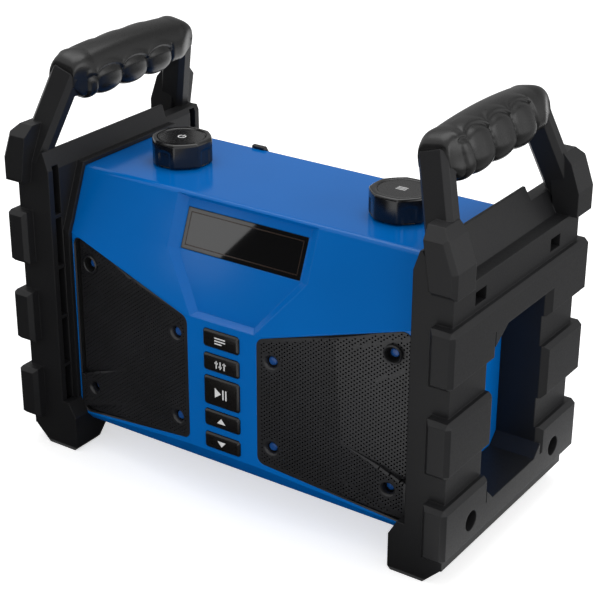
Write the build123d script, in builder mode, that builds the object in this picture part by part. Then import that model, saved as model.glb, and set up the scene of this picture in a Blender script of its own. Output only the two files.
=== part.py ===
"""Jobsite radio: a blue two-shell housing between two black end frames with carrying handles.

Millimetres. X runs along the radio (+X is the right end seen from the front), -Y is the front,
+Z is up. The origin is on the ground under the middle of the radio.
"""

import os
from math import atan, cos, hypot, pi, radians, sin, tan

from build123d import *

os.makedirs("parts", exist_ok=True)

# ---------------------------------------------------------------- driving dimensions
# Clearances
slide_gap = 0.35  # between a moving piece and the opening it works in
seat_gap = 0.3  # between a drop-in piece and its recess
collar_gap = 0.15  # between an end frame and the housing end that it grips
shaft_gap = 0.05  # radial, between a shaft and its bush

# Housing, seen from the end
housing_half = 137.5  # half the length
wall = 3.0
top_z = 201.5
bottom_z = 19.0
ridge_y = -49.5  # front edge of the top face
crease_y = -63.2  # between the upper and the middle front facet
crease_z = 167.4
face_y = -78.8  # centre strip, which carries the buttons
face_top_z = 131.0
face_foot_z = 38.0
keel_front_y = -62.0  # front edge of the bottom face
rear_ridge_y = 44.0
rear_y = 66.0
rear_top_z = 157.0
rear_foot_z = 31.0
keel_rear_y = 55.0
ridge_radius = 4.0
parting_y = 42.5  # plane where the front and rear shells meet
# Housing, seen from above: the speaker faces sweep back from the centre strip
strip_half = 26.8
sweep = 0.115  # rise in Y per millimetre of X

# Sunken panel over the display
panel_depth = 4.0
panel_half = 54.2
panel_floor_half = 47.3
panel_top_z = 200.0
panel_floor_top_z = 197.0
panel_foot_half = 25.0
panel_foot_floor_half = 21.9
panel_foot_z = 131.5
panel_floor_foot_z = 133.3

# Display
window_half = 46.0
window_low = 0.8  # up the facet from the crease
window_high = 27.6
window_thick = 1.6
display_margin = 4.0  # edge of the window that rests on its ledge
display_thick = 6.0
display_lap = 1.0  # of the module behind the ledge
display_gap = 1.4  # between them

# Speaker grilles
grille_in_x = 27.0  # inner edge
grille_edge = 6.5  # of the housing outside the grille
grille_recess = 1.0  # front of the grille behind the housing face
grille_in_low_z = 42.0
grille_in_high_z = 129.3
grille_out_low_z = 25.6
grille_out_high_z = 158.6
grille_corner = 6.0
grille_thick = 2.0
grille_rim = 3.0  # wall round the hollow back
trough_depth = 4.4  # of the corner troughs at their deepest
# Corners of each trough, which starts level with the field between its last and first corner.
# The first number is the distance in from the grille's outer edge, the second is Z
high_trough = [(37.4, 139.2), (-3.0, 153.1), (-3.0, 133.5), (23.2, 119.8)]
low_trough = [(45.0, 72.0), (-3.0, 53.1), (-3.0, 30.0), (42.8, 44.7)]
baffle_thick = 3.0
pit_radius = 4.2
pit_sides = 12
peg_radius = 3.0  # housing peg in a pit
peg_sink = 2.0
outer_peg_sink = 4.6
inner_pits = [(37.3, 115.7), (37.3, 54.7)]  # X, Z
outer_pits = [(13.0, 139.5), (13.0, 47.8)]  # in from the outer edge, Z

# Speakers
speaker_x = 80.0
speaker_z = 87.0
cone_radius = 33.0
basket_radius = 39.0
basket_lip = 3.0
basket_neck = 24.0
basket_depth = 38.0
cone_wall = 1.0
cone_depth = 12.0
coil_radius = 8.0
speaker_sides = 12  # hidden round forms have flats
post_sides = 6  # hidden posts, screws and their holes too

# Push buttons on the centre strip
button_width = 27.6
button_spans = {
    "mode": (114.3, 126.4),
    "sound": (97.6, 109.5),
    "play": (73.0, 93.4),
    "up": (57.3, 69.1),
    "down": (41.0, 52.1),
}
button_proud = 1.6
button_travel = 1.0
button_corner = 1.6
button_bevel = 0.9
button_flange = 1.6  # hidden rim that keeps the button in
flange_thick = 1.2
stem_size = 7.0
stem_length = 3.0
switch_height = 3.0
switch_size = 6.0
board_thick = 1.6

# Knobs on top
knob_x = 85.1
knob_y = -5.8
knob_radius = 20.6
knob_sides = 8
knob_side_radius = 19.7  # at the middle of a side
knob_height = 16.5
knob_rise = 1.1  # gap under the knob
knob_bevel = 1.6
knob_wall = 2.6
cap_radius = 15.2
cap_thick = 1.4
cap_sink = 0.5
hub_radius = 6.0
shaft_radius = 3.0
bush_radius = 4.5
bush_height = 6.0
encoder_size = 16.0
encoder_height = 9.0
plunger_radius = 4.5
plunger_thick = 1.5
plunger_floor = 1.0
collar_height = 0.8  # keeps the shaft in the encoder
push_travel = 0.6

# End frames
# Distances along X are counted outwards from the housing's end
post_width = 27.1
post_y = 80.3  # front face of the plain post, and the same to the rear
block_width = 32.5
block_root = 16.0
block_y = 89.0
block_bevel = 2.8
tier_low_z = 21.5
tier_height = 37.0
tier_pitch = 58.1
tier_count = 3
ledge_z = 195.2
saddle_top_z = 217.0
saddle_root = 4.3
saddle_flat = 1.6
saddle_foot = 18.0
saddle_low_z = 204.6
saddle_drop = 8.5  # the saddle is lower behind the rear ridge of the housing
skirt_z = 11.8  # underside between the feet
frame_window_half = 36.0
frame_window_low = 40.0
frame_window_high = 157.0
window_corner = 8.0
window_slant = (15.0, 10.0)  # long bevel at the upper front corner: along Y, along Z
collar_thick = 3.0
collar_reach = 5.2  # how far the collar grips over the housing
lip_depth = 4.5  # inner lip along the post
plate_bevel = (1.0, 4.0)  # edge of the raised plates at the window: front, rear
pocket_depth = 9.0
pocket_width = 5.8
pocket_low_z = 27.0
pocket_high_z = 207.0
pocket_rib = 2.4
pocket_count = 5

core_depth = 22.0  # hidden hollows that keep the walls even
core_wall = 4.0
core_out_y = 56.0

# Feet
foot_root = -11.0
foot_flat = 14.2
foot_width = 26.2
foot_flat_y = 58.4
foot_edge = 2.3
foot_rise_y = 11.0
foot_top_z = 36.0

# Shoulder blocks under the handle legs
shoulder_top_z = 235.0
shoulder_turn_z = 211.0
shoulder_rear_y = 65.5
shoulder_slant = 7.0
shoulder_root = 9.5
shoulder_width = 20.5
shoulder_side = (26.0, 229.0)  # where the outer slope turns: outwards, Z

# Handles, drawn on a plane that leans inwards
handle_out = 12.5
handle_z = 225.0
handle_lean = 18.0  # degrees
leg_front_y = 76.1  # front face of the leg at handle_z
leg_slope = 0.277
leg_depth = 13.0
leg_width = 20.0
leg_bevel = 3.2
knee_height = 47.0
bar_low = 28.0
leg_root = -24.0
grip_axis = 37.5
grip_top = 58.8
grip_lean = 10.0  # degrees; the grip stands more upright than the legs
grip_crown = 2.0
grip_width = 30.0
grip_round = 14.0
grip_end_round = 19.0
grip_setback = 1.0  # of the grip's ends from the outer faces of the legs
grip_taper = 18.0
lobe_count = 4
lobe_span = 113.0
lobe_reach = 15.5  # from the grip's axis to the crest of a lobe
notch_reach = 12.7

# Frame bolts
bolt_low = (55.5, 37.2)  # Y, Z
bolt_high = (48.0, 183.2)
bolt_well_radius = 6.75
bolt_well_depth = 14.0
high_well = (13.0, 8.6)  # square well, along Y and Z
bolt_head_radius = 3.9
bolt_head_height = 5.0
bolt_radius = 2.3
bolt_hole_radius = 2.8
bolt_boss_radius = 4.4
bolt_boss_length = 14.0
bolt_end_gap = 2.0

# Screws
screw_head_radius = 2.9
screw_head_height = 2.2
screw_radius = 1.5
case_screw_length = 34.0
case_screw_inset = 10.5  # of the outer screws from the housing's end
outer_screw_levels = (150.0, 66.0)
inner_screw = (46.0, 44.0)  # X, Z
case_boss_radius = 5.0
case_boss_length = 36.0
case_hole_depth = 20.0
web_thick = 2.4
case_well_depth = 4.0

# Battery door on the sloping rear facet
door_half = 74.0
door_high = 5.0  # down the facet from the rear ridge
door_low = 41.5
door_thick = 3.0
door_corner = 3.0
door_ledge = 3.0
ledge_thick = 2.5
barrel_radius = 2.9
barrel_length = 14.0
barrel_x = 50.0
ear_length = 5.0
hinge_pin_radius = 1.5
latch_x = 57.0
latch_width = 9.8
latch_proud = 2.3
latch_reach = 2.8  # over the top face, forward of the ridge
latch_thick = 2.8
latch_edge = 0.6
latch_tail = 15.0  # down the facet
latch_pivot = 11.0
latch_pin_radius = 1.2
latch_pin_grip = 2.5
tray_depth = 24.0
tray_wall = 2.0

# Battery pack and sockets inside the door
pack_length = 98.0
pack_height = 16.0
pack_gap = 0.6
pack_round = 4.0
socket_length = 38.0
socket_height = 8.0
jack_radius = 1.8
inlet_radius = 2.9
inlet_pin_radius = 1.0

# Boards
main_board_size = (110.0, 52.0)
main_board_y = -23.0
main_board_lift = 6.0
standoff_inset = 6.0
standoff_radius = 3.0
fin_count = 7
fin_pitch = 4.0
fin_thick = 1.4
fin_width = 30.0
fin_height = 14.0
radio_module = (26.0, 18.0, 2.4)
capacitor_radius = 4.0
button_board_size = (46.0, 96.0)
button_board_post = (20.0, 38.0)

# Case seal
seal_inset = 1.1
seal_width = 1.2
seal_depth = 1.4

# ---------------------------------------------------------------- worked-out sizes
facet_a_slope = (ridge_y - crease_y) / (top_z - crease_z)
facet_b_slope = (crease_y - face_y) / (crease_z - face_top_z)
upper_facet = Plane(
    origin=(0, crease_y, crease_z),
    x_dir=(1, 0, 0),
    z_dir=(0, crease_z - top_z, ridge_y - crease_y),
)
middle_facet = Plane(
    origin=(0, crease_y, crease_z),
    x_dir=(1, 0, 0),
    z_dir=(0, face_top_z - crease_z, crease_y - face_y),
)
rear_facet = Plane(
    origin=(0, rear_ridge_y, top_z),
    x_dir=(-1, 0, 0),
    z_dir=(0, top_z - rear_top_z, rear_y - rear_ridge_y),
)


def swept_plane(start_x, start_y, slope):
    """An upright plane facing the front that runs back by slope for every millimetre of X."""
    angle = atan(slope)
    return Plane(
        origin=(start_x, start_y, 0),
        x_dir=(cos(angle), sin(angle), 0),
        z_dir=(sin(angle), -cos(angle), 0),
    )


grille_in_y = face_y + sweep * (grille_in_x - strip_half) + grille_recess
grille_plane = swept_plane(grille_in_x, grille_in_y, sweep)
grille_out_x = housing_half - grille_edge
grille_width = grille_out_x - grille_in_x
grille_length = grille_width / cos(atan(sweep))
outer_pit_places = [(grille_out_x - inward, z) for inward, z in outer_pits]
pit_places = inner_pits + outer_pit_places
floor_slope = sweep + trough_depth / grille_width
floor_plane = swept_plane(grille_in_x, grille_in_y + grille_thick, floor_slope)
baffle_plane = floor_plane.offset(-baffle_thick)

strip_inside_y = face_y + wall
flange_front_y = strip_inside_y + slide_gap
switch_top_y = flange_front_y + flange_thick + stem_length + button_travel + slide_gap
button_board_y = switch_top_y + switch_height

post_in_x = housing_half + collar_gap
post_out_x = housing_half + post_width
block_in_x = housing_half + block_root
block_out_x = housing_half + block_width
saddle_in_x = housing_half + saddle_root
saddle_foot_x = housing_half + saddle_foot
foot_in_x = housing_half + foot_root
foot_flat_x = housing_half + foot_flat
foot_out_x = housing_half + foot_width
shoulder_in_x = housing_half + shoulder_root
shoulder_out_x = housing_half + shoulder_width
handle_x = housing_half + handle_out

knob_base_z = top_z + knob_rise
ceiling_z = top_z - wall

lean = radians(handle_lean)
handle_plane = Plane(
    origin=(handle_x, 0, handle_z),
    x_dir=(0, 1, 0),
    z_dir=(cos(lean), 0, sin(lean)),
)

window_mid = (window_low + window_high) / 2
window_tall = window_high - window_low
door_mid = (door_high + door_low) / 2
door_tall = door_low - door_high
case_screw_places = [(housing_half - case_screw_inset, z) for z in outer_screw_levels]
case_screw_places.append(inner_screw)
low_screw_z = inner_screw[1]
bolt_seat_x = post_out_x - bolt_well_depth
bolt_places = [(side * y, z) for side in (1, -1) for y, z in (bolt_low, bolt_high)]
button_board_z = (button_spans["down"][0] + button_spans["mode"][1]) / 2


def facet_point(up, out):
    """Y and Z of a place on the sloping rear facet: up from the ridge and out of the face."""
    place = rear_facet.from_local_coords((0, up, out))
    return (place.Y, place.Z)


hinge_spot = facet_point(-door_low - barrel_radius - slide_gap, 0)
latch_pivot_spot = facet_point(-latch_pivot, -door_thick / 2)

side_profile = [
    (ridge_y, top_z),
    (crease_y, crease_z),
    (face_y, face_top_z),
    (face_y, face_foot_z),
    (keel_front_y, bottom_z),
    (keel_rear_y, bottom_z),
    (rear_y, rear_foot_z),
    (rear_y, rear_top_z),
    (rear_ridge_y, top_z),
]


# ---------------------------------------------------------------- shared forms
def housing_form(inset, rounding=0.0):
    """The closed outer form of the housing, pulled in (or, if negative, swelled) by inset."""
    reach = housing_half - inset
    with BuildPart() as form:
        with BuildSketch(Plane.YZ):
            Polygon(*side_profile, align=None)
            if inset != 0:
                offset(amount=-inset, kind=Kind.INTERSECTION)
        extrude(amount=reach, both=True)
        if rounding > 0:
            top_edges = form.edges().filter_by(Axis.X).group_by(Axis.Z)[-1]
            fillet(top_edges, rounding)
        with BuildSketch(Plane.XY):
            with BuildLine():
                swept_y = face_y + sweep * (housing_half - strip_half)
                Polyline(
                    (-reach, 2 * rear_y),
                    (-reach, swept_y + inset),
                    (-strip_half, face_y + inset),
                    (strip_half, face_y + inset),
                    (reach, swept_y + inset),
                    (reach, 2 * rear_y),
                    close=True,
                )
            make_face()
        extrude(amount=top_z + 2 * abs(inset) + 1, mode=Mode.INTERSECT)
    return form.part


def panel_form(grow):
    """The sunken panel as a cutting solid: two tapered wedges that meet at the crease."""
    depth = panel_depth + grow
    turn = 0.5 * (atan(facet_b_slope) - atan(facet_a_slope))
    floor_shift = panel_depth * tan(turn)
    upper_cos = cos(atan(facet_a_slope))
    upper_sin = sin(atan(facet_a_slope))
    middle_cos = cos(atan(facet_b_slope))
    middle_sin = sin(atan(facet_b_slope))
    upper_rim = (panel_top_z - crease_z) / upper_cos
    upper_floor = (panel_floor_top_z - crease_z + panel_depth * upper_sin) / upper_cos
    middle_rim = (panel_foot_z - crease_z) / middle_cos
    middle_floor = (panel_floor_foot_z - crease_z + panel_depth * middle_sin) / middle_cos
    # Each corner is (half width, height) at the rim and on the floor
    wedges = [
        (
            upper_facet,
            ((panel_half, upper_rim), (panel_floor_half, upper_floor)),
            ((panel_half, 0), (panel_floor_half, -floor_shift)),
        ),
        (
            middle_facet,
            ((panel_half, 0), (panel_floor_half, floor_shift)),
            ((panel_foot_half, middle_rim), (panel_foot_floor_half, middle_floor)),
        ),
    ]
    above = 1.0
    with BuildPart() as form:
        for facet, (high_rim, high_floor), (low_rim, low_floor) in wedges:
            for level in (above, -depth):
                share = -level / panel_depth
                high = [r + (f - r) * share for r, f in zip(high_rim, high_floor)]
                low = [r + (f - r) * share for r, f in zip(low_rim, low_floor)]
                with BuildSketch(facet.offset(level)):
                    Polygon(
                        (-high[0], high[1]),
                        (high[0], high[1]),
                        (low[0], low[1]),
                        (-low[0], low[1]),
                        align=None,
                    )
                    if grow > 0:
                        offset(amount=grow * 1.6, kind=Kind.INTERSECTION)
            loft(ruled=True)
    return form.part


def grille_outline(margin):
    """Corner points of a speaker grille on its own plane, pulled in by margin."""
    top_slope = (grille_out_high_z - grille_in_high_z) / grille_length
    low_slope = (grille_out_low_z - grille_in_low_z) / grille_length
    top_drop = margin * hypot(1, top_slope)
    low_rise = margin * hypot(1, low_slope)
    near = margin
    far = grille_length - margin
    return [
        (near, grille_in_low_z + low_slope * near + low_rise),
        (far, grille_in_low_z + low_slope * far + low_rise),
        (far, grille_in_high_z + top_slope * far - top_drop),
        (near, grille_in_high_z + top_slope * near - top_drop),
    ]


def along(plane, x, z):
    """The place on a swept plane that lies at X and Z."""
    return ((x - plane.origin.X) / plane.x_dir.X, z)


def mirrored(source, name):
    """The left-hand twin of a right-hand piece."""
    with BuildPart() as twin:
        mirror(source, about=Plane.YZ)
    twin.part.label = name
    return twin.part


def trough_form(corners, margin):
    """A corner trough of the right grille as a cutting solid, grown by margin to all sides."""
    corners = [along(grille_plane, grille_out_x - inward, z) for inward, z in corners]
    deepest = grille_plane.from_local_coords((*corners[1], -trough_depth))
    first = grille_plane.from_local_coords((*corners[0], 0))
    last = grille_plane.from_local_coords((*corners[-1], 0))
    bottom = Plane(origin=first, x_dir=last - first, z_dir=(last - first).cross(deepest - first))
    with BuildPart() as form:
        with BuildSketch(grille_plane.offset(1)):
            Polygon(*corners, align=None)
            if margin > 0:
                offset(amount=margin, kind=Kind.INTERSECTION)
        extrude(amount=-2 * trough_depth - 2 * margin)
        split(bisect_by=bottom.offset(-margin), keep=Keep.TOP)
    return form.part


def save(piece, name):
    piece.label = name
    export_step(piece, f"parts/{name}.step")


def save_pair(piece, name):
    save(piece, f"right_{name}")
    save(mirrored(piece, f"left_{name}"), f"left_{name}")


def knob_outline():
    """Eight gently bulging sides."""
    turn = 2 * pi / knob_sides
    with BuildSketch() as outline:
        with BuildLine():
            for n in range(knob_sides):
                ThreePointArc(
                    polar(knob_radius, (n - 0.5) * turn),
                    polar(knob_side_radius, n * turn),
                    polar(knob_radius, (n + 0.5) * turn),
                )
        make_face()
    return outline.sketch


def key_outline(low_z, high_z, margin):
    """Outline of a push button with cut corners, grown by margin."""
    with BuildSketch() as outline:
        with Locations((0, (low_z + high_z) / 2)):
            Rectangle(button_width + 2 * margin, high_z - low_z + 2 * margin)
        chamfer(outline.vertices(), button_corner)
    return outline.sketch


def polar(radius, angle):
    return (radius * cos(angle), radius * sin(angle))


def handle_outline():
    """Corner points of the handle's core on its own plane."""
    knee_y = leg_front_y - leg_slope * knee_height
    inner_knee_y = leg_front_y - leg_slope * bar_low - leg_depth
    root_y = leg_front_y - leg_slope * leg_root - leg_depth
    bend = (leg_front_y - post_y) / leg_slope
    half = [
        (root_y, leg_root),
        (post_y, leg_root),
        (post_y, bend),
        (knee_y, knee_height),
    ]
    return half + [(-y, s) for y, s in reversed(half)] + [(-inner_knee_y, bar_low), (inner_knee_y, bar_low)]


def saddle_outline(top_z):
    """Section of the slope on top of the end frame, with its flat top at top_z."""
    run = (saddle_foot_x - saddle_in_x - saddle_flat) / (saddle_top_z - ledge_z)
    flat_out_x = saddle_foot_x - run * (top_z - ledge_z)
    inner_x = saddle_in_x - (saddle_top_z - top_z) * 0.3
    return [
        (post_in_x, ledge_z),
        (post_in_x, saddle_low_z),
        (inner_x, top_z),
        (flat_out_x, top_z),
        (saddle_foot_x, ledge_z),
    ]


outer_form = housing_form(0, ridge_radius)

# ---------------------------------------------------------------- cavity of the two shells
with BuildPart() as cavity:
    add(housing_form(wall))
    # The housing is solid from the speaker faces back to the baffles
    near_x = strip_half - wall
    near_y = baffle_plane.origin.Y + (near_x - baffle_plane.origin.X) * floor_slope
    far_y = baffle_plane.origin.Y + (housing_half - baffle_plane.origin.X) * floor_slope
    for side in (1, -1):
        with BuildSketch(Plane.XY.offset(bottom_z)):
            Polygon(
                (side * near_x, near_y),
                (side * housing_half, far_y),
                (side * housing_half, face_y),
                (side * near_x, face_y),
                align=None,
            )
        extrude(amount=crease_z - bottom_z, mode=Mode.SUBTRACT)
    add(panel_form(wall), mode=Mode.SUBTRACT)

# ---------------------------------------------------------------- front shell
with BuildPart() as pocket:
    with BuildSketch(floor_plane) as pocket_outline:
        Polygon(*grille_outline(-seat_gap), align=None)
        fillet(pocket_outline.vertices(), grille_corner)
    extrude(amount=grille_thick + trough_depth + 6)
    with BuildSketch(floor_plane):
        with Locations(along(floor_plane, speaker_x, speaker_z)):
            RegularPolygon(cone_radius, speaker_sides)
    extrude(amount=-baffle_thick - 1)

with BuildPart() as pegs:
    for sink, places in ((peg_sink, inner_pits), (outer_peg_sink, outer_pit_places)):
        with BuildSketch(grille_plane.offset(-sink)):
            with Locations(*[along(grille_plane, x, z) for x, z in places]):
                RegularPolygon(peg_radius, pit_sides)
        extrude(amount=-grille_thick - baffle_thick)

# Case screw pillars, each with a web to the nearest wall
with BuildSketch() as pillar_outline:
    for x, z in case_screw_places:
        for side in (1, -1):
            with Locations((side * x, z)):
                RegularPolygon(case_boss_radius, post_sides)
            if z > low_screw_z:
                with Locations((side * (x + housing_half - wall) / 2, z)):
                    Rectangle(housing_half - wall - x + 1, web_thick)
            else:
                with Locations((side * x, (bottom_z + wall + z) / 2)):
                    Rectangle(web_thick, z - bottom_z - wall + 1)

with BuildPart() as front_shell:
    add(outer_form)
    add(cavity.part, mode=Mode.SUBTRACT)
    split(bisect_by=Plane.XZ.offset(-parting_y), keep=Keep.TOP)
    # Pillars for the case screws
    with BuildSketch(Plane.XZ.offset(-parting_y)):
        add(pillar_outline.sketch)
    extrude(amount=case_boss_length)
    with BuildSketch(Plane.XZ.offset(-parting_y)):
        with Locations(*case_screw_places, *[(-x, z) for x, z in case_screw_places]):
            RegularPolygon(screw_radius, post_sides)
    extrude(amount=case_hole_depth, mode=Mode.SUBTRACT)
    # Bosses behind the front frame bolts
    for y, z in ((-bolt_low[0], bolt_low[1]), (-bolt_high[0], bolt_high[1])):
        for side in (1, -1):
            with BuildSketch(Plane.YZ.offset(side * (housing_half - wall / 2))):
                with Locations((y, z)):
                    RegularPolygon(bolt_boss_radius, post_sides)
            extrude(amount=-side * bolt_boss_length)
            with BuildSketch(Plane.YZ.offset(side * housing_half)):
                with Locations((y, z)):
                    RegularPolygon(bolt_radius, post_sides)
            extrude(amount=-side * bolt_boss_length, mode=Mode.SUBTRACT)
    # Posts for the main board and the button board
    with BuildSketch(Plane.XY.offset(bottom_z + wall / 2)):
        with Locations((0, main_board_y)):
            with GridLocations(*[size - 2 * standoff_inset for size in main_board_size], 2, 2):
                RegularPolygon(standoff_radius, post_sides)
    extrude(amount=main_board_lift + wall / 2)
    with BuildSketch(Plane.XZ.offset(-strip_inside_y + wall / 2)):
        with Locations((0, button_board_z)):
            with GridLocations(2 * button_board_post[0], 2 * button_board_post[1], 2, 2):
                RegularPolygon(standoff_radius, post_sides)
    extrude(amount=strip_inside_y - button_board_y - wall / 2)
    # Sunken panel, then the seat and the hole for the display window
    add(panel_form(0), mode=Mode.SUBTRACT)
    with BuildSketch(upper_facet.offset(-panel_depth)):
        with Locations((0, window_mid)):
            Rectangle(2 * (window_half + seat_gap), window_tall + 2 * seat_gap)
    extrude(amount=-window_thick, mode=Mode.SUBTRACT)
    with BuildSketch(upper_facet.offset(-panel_depth)):
        with Locations((0, window_mid)):
            Rectangle(2 * (window_half - display_margin), window_tall - 2 * display_margin)
    extrude(amount=-2 * wall, mode=Mode.SUBTRACT)
    # Speaker pockets with their speaker holes, then the pegs
    add(pocket.part, mode=Mode.SUBTRACT)
    mirror(pocket.part, about=Plane.YZ, mode=Mode.SUBTRACT)
    add(pegs.part)
    mirror(pegs.part, about=Plane.YZ)
    # Button openings
    for low_z, high_z in button_spans.values():
        with BuildSketch(Plane.XZ.offset(-face_y)):
            add(key_outline(low_z, high_z, slide_gap))
        extrude(amount=-wall, mode=Mode.SUBTRACT)
    # Holes for the encoder bushes
    with BuildSketch(Plane.XY.offset(ceiling_z)):
        with Locations((knob_x, knob_y), (-knob_x, knob_y)):
            RegularPolygon(bush_radius, post_sides)
    extrude(amount=wall, mode=Mode.SUBTRACT)
save(front_shell.part, "front_shell")

# ---------------------------------------------------------------- rear shell
with BuildPart() as seal_form:
    add(housing_form(seal_inset))
    add(housing_form(seal_inset + seal_width), mode=Mode.SUBTRACT)
    split(bisect_by=Plane.XZ.offset(-parting_y), keep=Keep.BOTTOM)
    split(bisect_by=Plane.XZ.offset(-parting_y - seal_depth), keep=Keep.TOP)
save(seal_form.part, "case_seal")

with BuildPart() as rear_shell:
    add(outer_form)
    add(cavity.part, mode=Mode.SUBTRACT)
    split(bisect_by=Plane.XZ.offset(-parting_y), keep=Keep.BOTTOM)
    # Pillars that the case screws pass through
    with BuildSketch(Plane.XZ.offset(-parting_y)):
        add(pillar_outline.sketch)
    extrude(amount=parting_y - rear_y)
    # Door surround and battery tray hang on the back of the sloping facet
    with BuildSketch(rear_facet):
        with Locations((0, -(door_low + barrel_radius) / 2 - 1)):
            Rectangle(2 * door_half + 4 * tray_wall, door_low + 3 * barrel_radius)
    extrude(amount=-door_thick - seat_gap - ledge_thick)
    with BuildSketch(rear_facet.offset(-door_thick)):
        with Locations((0, -door_mid)):
            Rectangle(
                2 * (door_half - door_ledge + tray_wall),
                door_tall - 2 * (door_ledge - tray_wall),
            )
    extrude(amount=-tray_depth - tray_wall)
    add(outer_form, mode=Mode.INTERSECT)
    split(bisect_by=Plane.XZ.offset(-parting_y), keep=Keep.BOTTOM)
    with BuildSketch(rear_facet.offset(-door_thick - seat_gap)) as door_recess:
        with Locations((0, -door_mid)):
            Rectangle(2 * (door_half + seat_gap), door_tall + 2 * seat_gap)
        chamfer(door_recess.vertices(), door_corner)
    extrude(amount=2 * door_thick, mode=Mode.SUBTRACT)
    with BuildSketch(rear_facet.offset(-door_thick - tray_depth)):
        with Locations((0, -door_mid)):
            Rectangle(2 * (door_half - door_ledge), door_tall - 2 * door_ledge)
    extrude(amount=tray_depth + 1, mode=Mode.SUBTRACT)
    # Hinge ears on the facet, bored for the pins, and room for the door's barrels
    for x in (barrel_x, -barrel_x):
        ear_x = barrel_length / 2 + slide_gap
        for low, high in ((ear_x, ear_x + ear_length), (-ear_x - ear_length, -ear_x)):
            with BuildSketch(Plane.YZ.offset(x + low)):
                with Locations(hinge_spot):
                    Circle(barrel_radius)
            extrude(amount=high - low)
        with BuildSketch(Plane.YZ.offset(x - ear_x)):
            with Locations(hinge_spot):
                Circle(barrel_radius + slide_gap)
            Polygon(
                facet_point(-door_low + 1, -door_thick - seat_gap),
                facet_point(-door_low - barrel_radius - slide_gap, -barrel_radius - slide_gap),
                facet_point(-door_low - barrel_radius - slide_gap, 1),
                facet_point(-door_low + 1, 1),
                align=None,
            )
        extrude(amount=2 * ear_x, mode=Mode.SUBTRACT)
        with BuildSketch(Plane.YZ.offset(x - ear_x - ear_length)):
            with Locations(hinge_spot):
                RegularPolygon(hinge_pin_radius, post_sides, major_radius=False)
        extrude(amount=2 * (ear_x + ear_length), mode=Mode.SUBTRACT)
    # Holes and wells for the case screws
    for x, z in case_screw_places:
        for radius, start_y, depth in (
            (screw_head_radius + seat_gap, rear_y, case_well_depth),
            (screw_radius + seat_gap, rear_y, rear_y - parting_y),
        ):
            with BuildSketch(Plane.XZ.offset(-start_y)):
                with Locations((x, z), (-x, z)):
                    RegularPolygon(radius, post_sides, major_radius=False)
            extrude(amount=depth, mode=Mode.SUBTRACT)
    # Bosses behind the rear frame bolts
    for y, z in (bolt_low, bolt_high):
        for side in (1, -1):
            with BuildSketch(Plane.YZ.offset(side * (housing_half - wall / 2))):
                with Locations((y, z)):
                    RegularPolygon(bolt_boss_radius, post_sides)
            extrude(amount=-side * bolt_boss_length)
            with BuildSketch(Plane.YZ.offset(side * housing_half)):
                with Locations((y, z)):
                    RegularPolygon(bolt_radius, post_sides)
            extrude(amount=-side * bolt_boss_length, mode=Mode.SUBTRACT)
    add(seal_form.part, mode=Mode.SUBTRACT)
save(rear_shell.part, "rear_shell")

# ---------------------------------------------------------------- battery door with its latches
with BuildPart() as battery_door:
    with BuildSketch(rear_facet) as door_outline:
        with Locations((0, -door_mid)):
            Rectangle(2 * door_half, door_tall)
        chamfer(door_outline.vertices(), door_corner)
    extrude(amount=-door_thick)
    for x in (barrel_x, -barrel_x):
        with BuildSketch(Plane.YZ.offset(x - barrel_length / 2)):
            with Locations(hinge_spot):
                Circle(barrel_radius)
            with BuildLine():
                Polyline(
                    facet_point(-door_low + 1, -door_thick),
                    facet_point(-door_low - barrel_radius, -barrel_radius * 0.9),
                    facet_point(-door_low - barrel_radius, 0),
                    facet_point(-door_low + 1, 0),
                    close=True,
                )
            make_face()
            with Locations(hinge_spot):
                Circle(hinge_pin_radius + shaft_gap, mode=Mode.SUBTRACT)
        extrude(amount=barrel_length)
    # Notches for the latches, with a blind bore each side for the pin
    with BuildSketch(rear_facet.offset(-door_thick)):
        notch_tall = latch_tail + 3 * slide_gap - door_high
        with Locations(
            (latch_x, -door_high - notch_tall / 2 + 1), (-latch_x, -door_high - notch_tall / 2 + 1)
        ):
            Rectangle(latch_width + 2 * slide_gap, notch_tall + 2)
    extrude(amount=2 * door_thick, mode=Mode.SUBTRACT)
    pin_length = latch_width + 2 * slide_gap + 2 * latch_pin_grip
    for x in (latch_x, -latch_x):
        with BuildSketch(Plane.YZ.offset(x - pin_length / 2)):
            with Locations(latch_pivot_spot):
                RegularPolygon(latch_pin_radius, post_sides, major_radius=False)
        extrude(amount=pin_length, mode=Mode.SUBTRACT)
save(battery_door.part, "battery_door")

with BuildPart() as latch_pins:
    for x in (latch_x, -latch_x):
        with BuildSketch(Plane.YZ.offset(x - pin_length / 2)):
            with Locations(latch_pivot_spot):
                Circle(latch_pin_radius)
        extrude(amount=pin_length)
save(latch_pins.part, "latch_pins")

with BuildPart() as latch:
    with BuildSketch(Plane.YZ.offset(latch_x - latch_width / 2)):
        with BuildLine():
            Polyline(
                (rear_ridge_y - latch_reach, top_z + slide_gap),
                (rear_ridge_y - latch_reach, top_z + latch_proud - latch_edge),
                (rear_ridge_y - latch_reach + latch_edge, top_z + latch_proud),
                (rear_ridge_y + slide_gap, top_z + latch_proud),
                facet_point(-door_high, latch_proud),
                facet_point(-latch_tail, latch_edge),
                facet_point(-latch_tail, latch_edge - latch_thick),
                facet_point(-door_high - slide_gap, latch_edge - latch_thick),
                facet_point(-door_high - slide_gap, slide_gap),
                facet_point(0, slide_gap),
                close=True,
            )
        make_face()
        with Locations(latch_pivot_spot):
            Circle(latch_pin_radius + shaft_gap, mode=Mode.SUBTRACT)
    extrude(amount=latch_width)
save_pair(latch.part, "latch")

with BuildPart() as hinge_pins:
    for x in (barrel_x, -barrel_x):
        half_pin = barrel_length / 2 + slide_gap + ear_length
        with BuildSketch(Plane.YZ.offset(x - half_pin)):
            with Locations(hinge_spot):
                Circle(hinge_pin_radius)
        extrude(amount=2 * half_pin)
save(hinge_pins.part, "hinge_pins")

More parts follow.
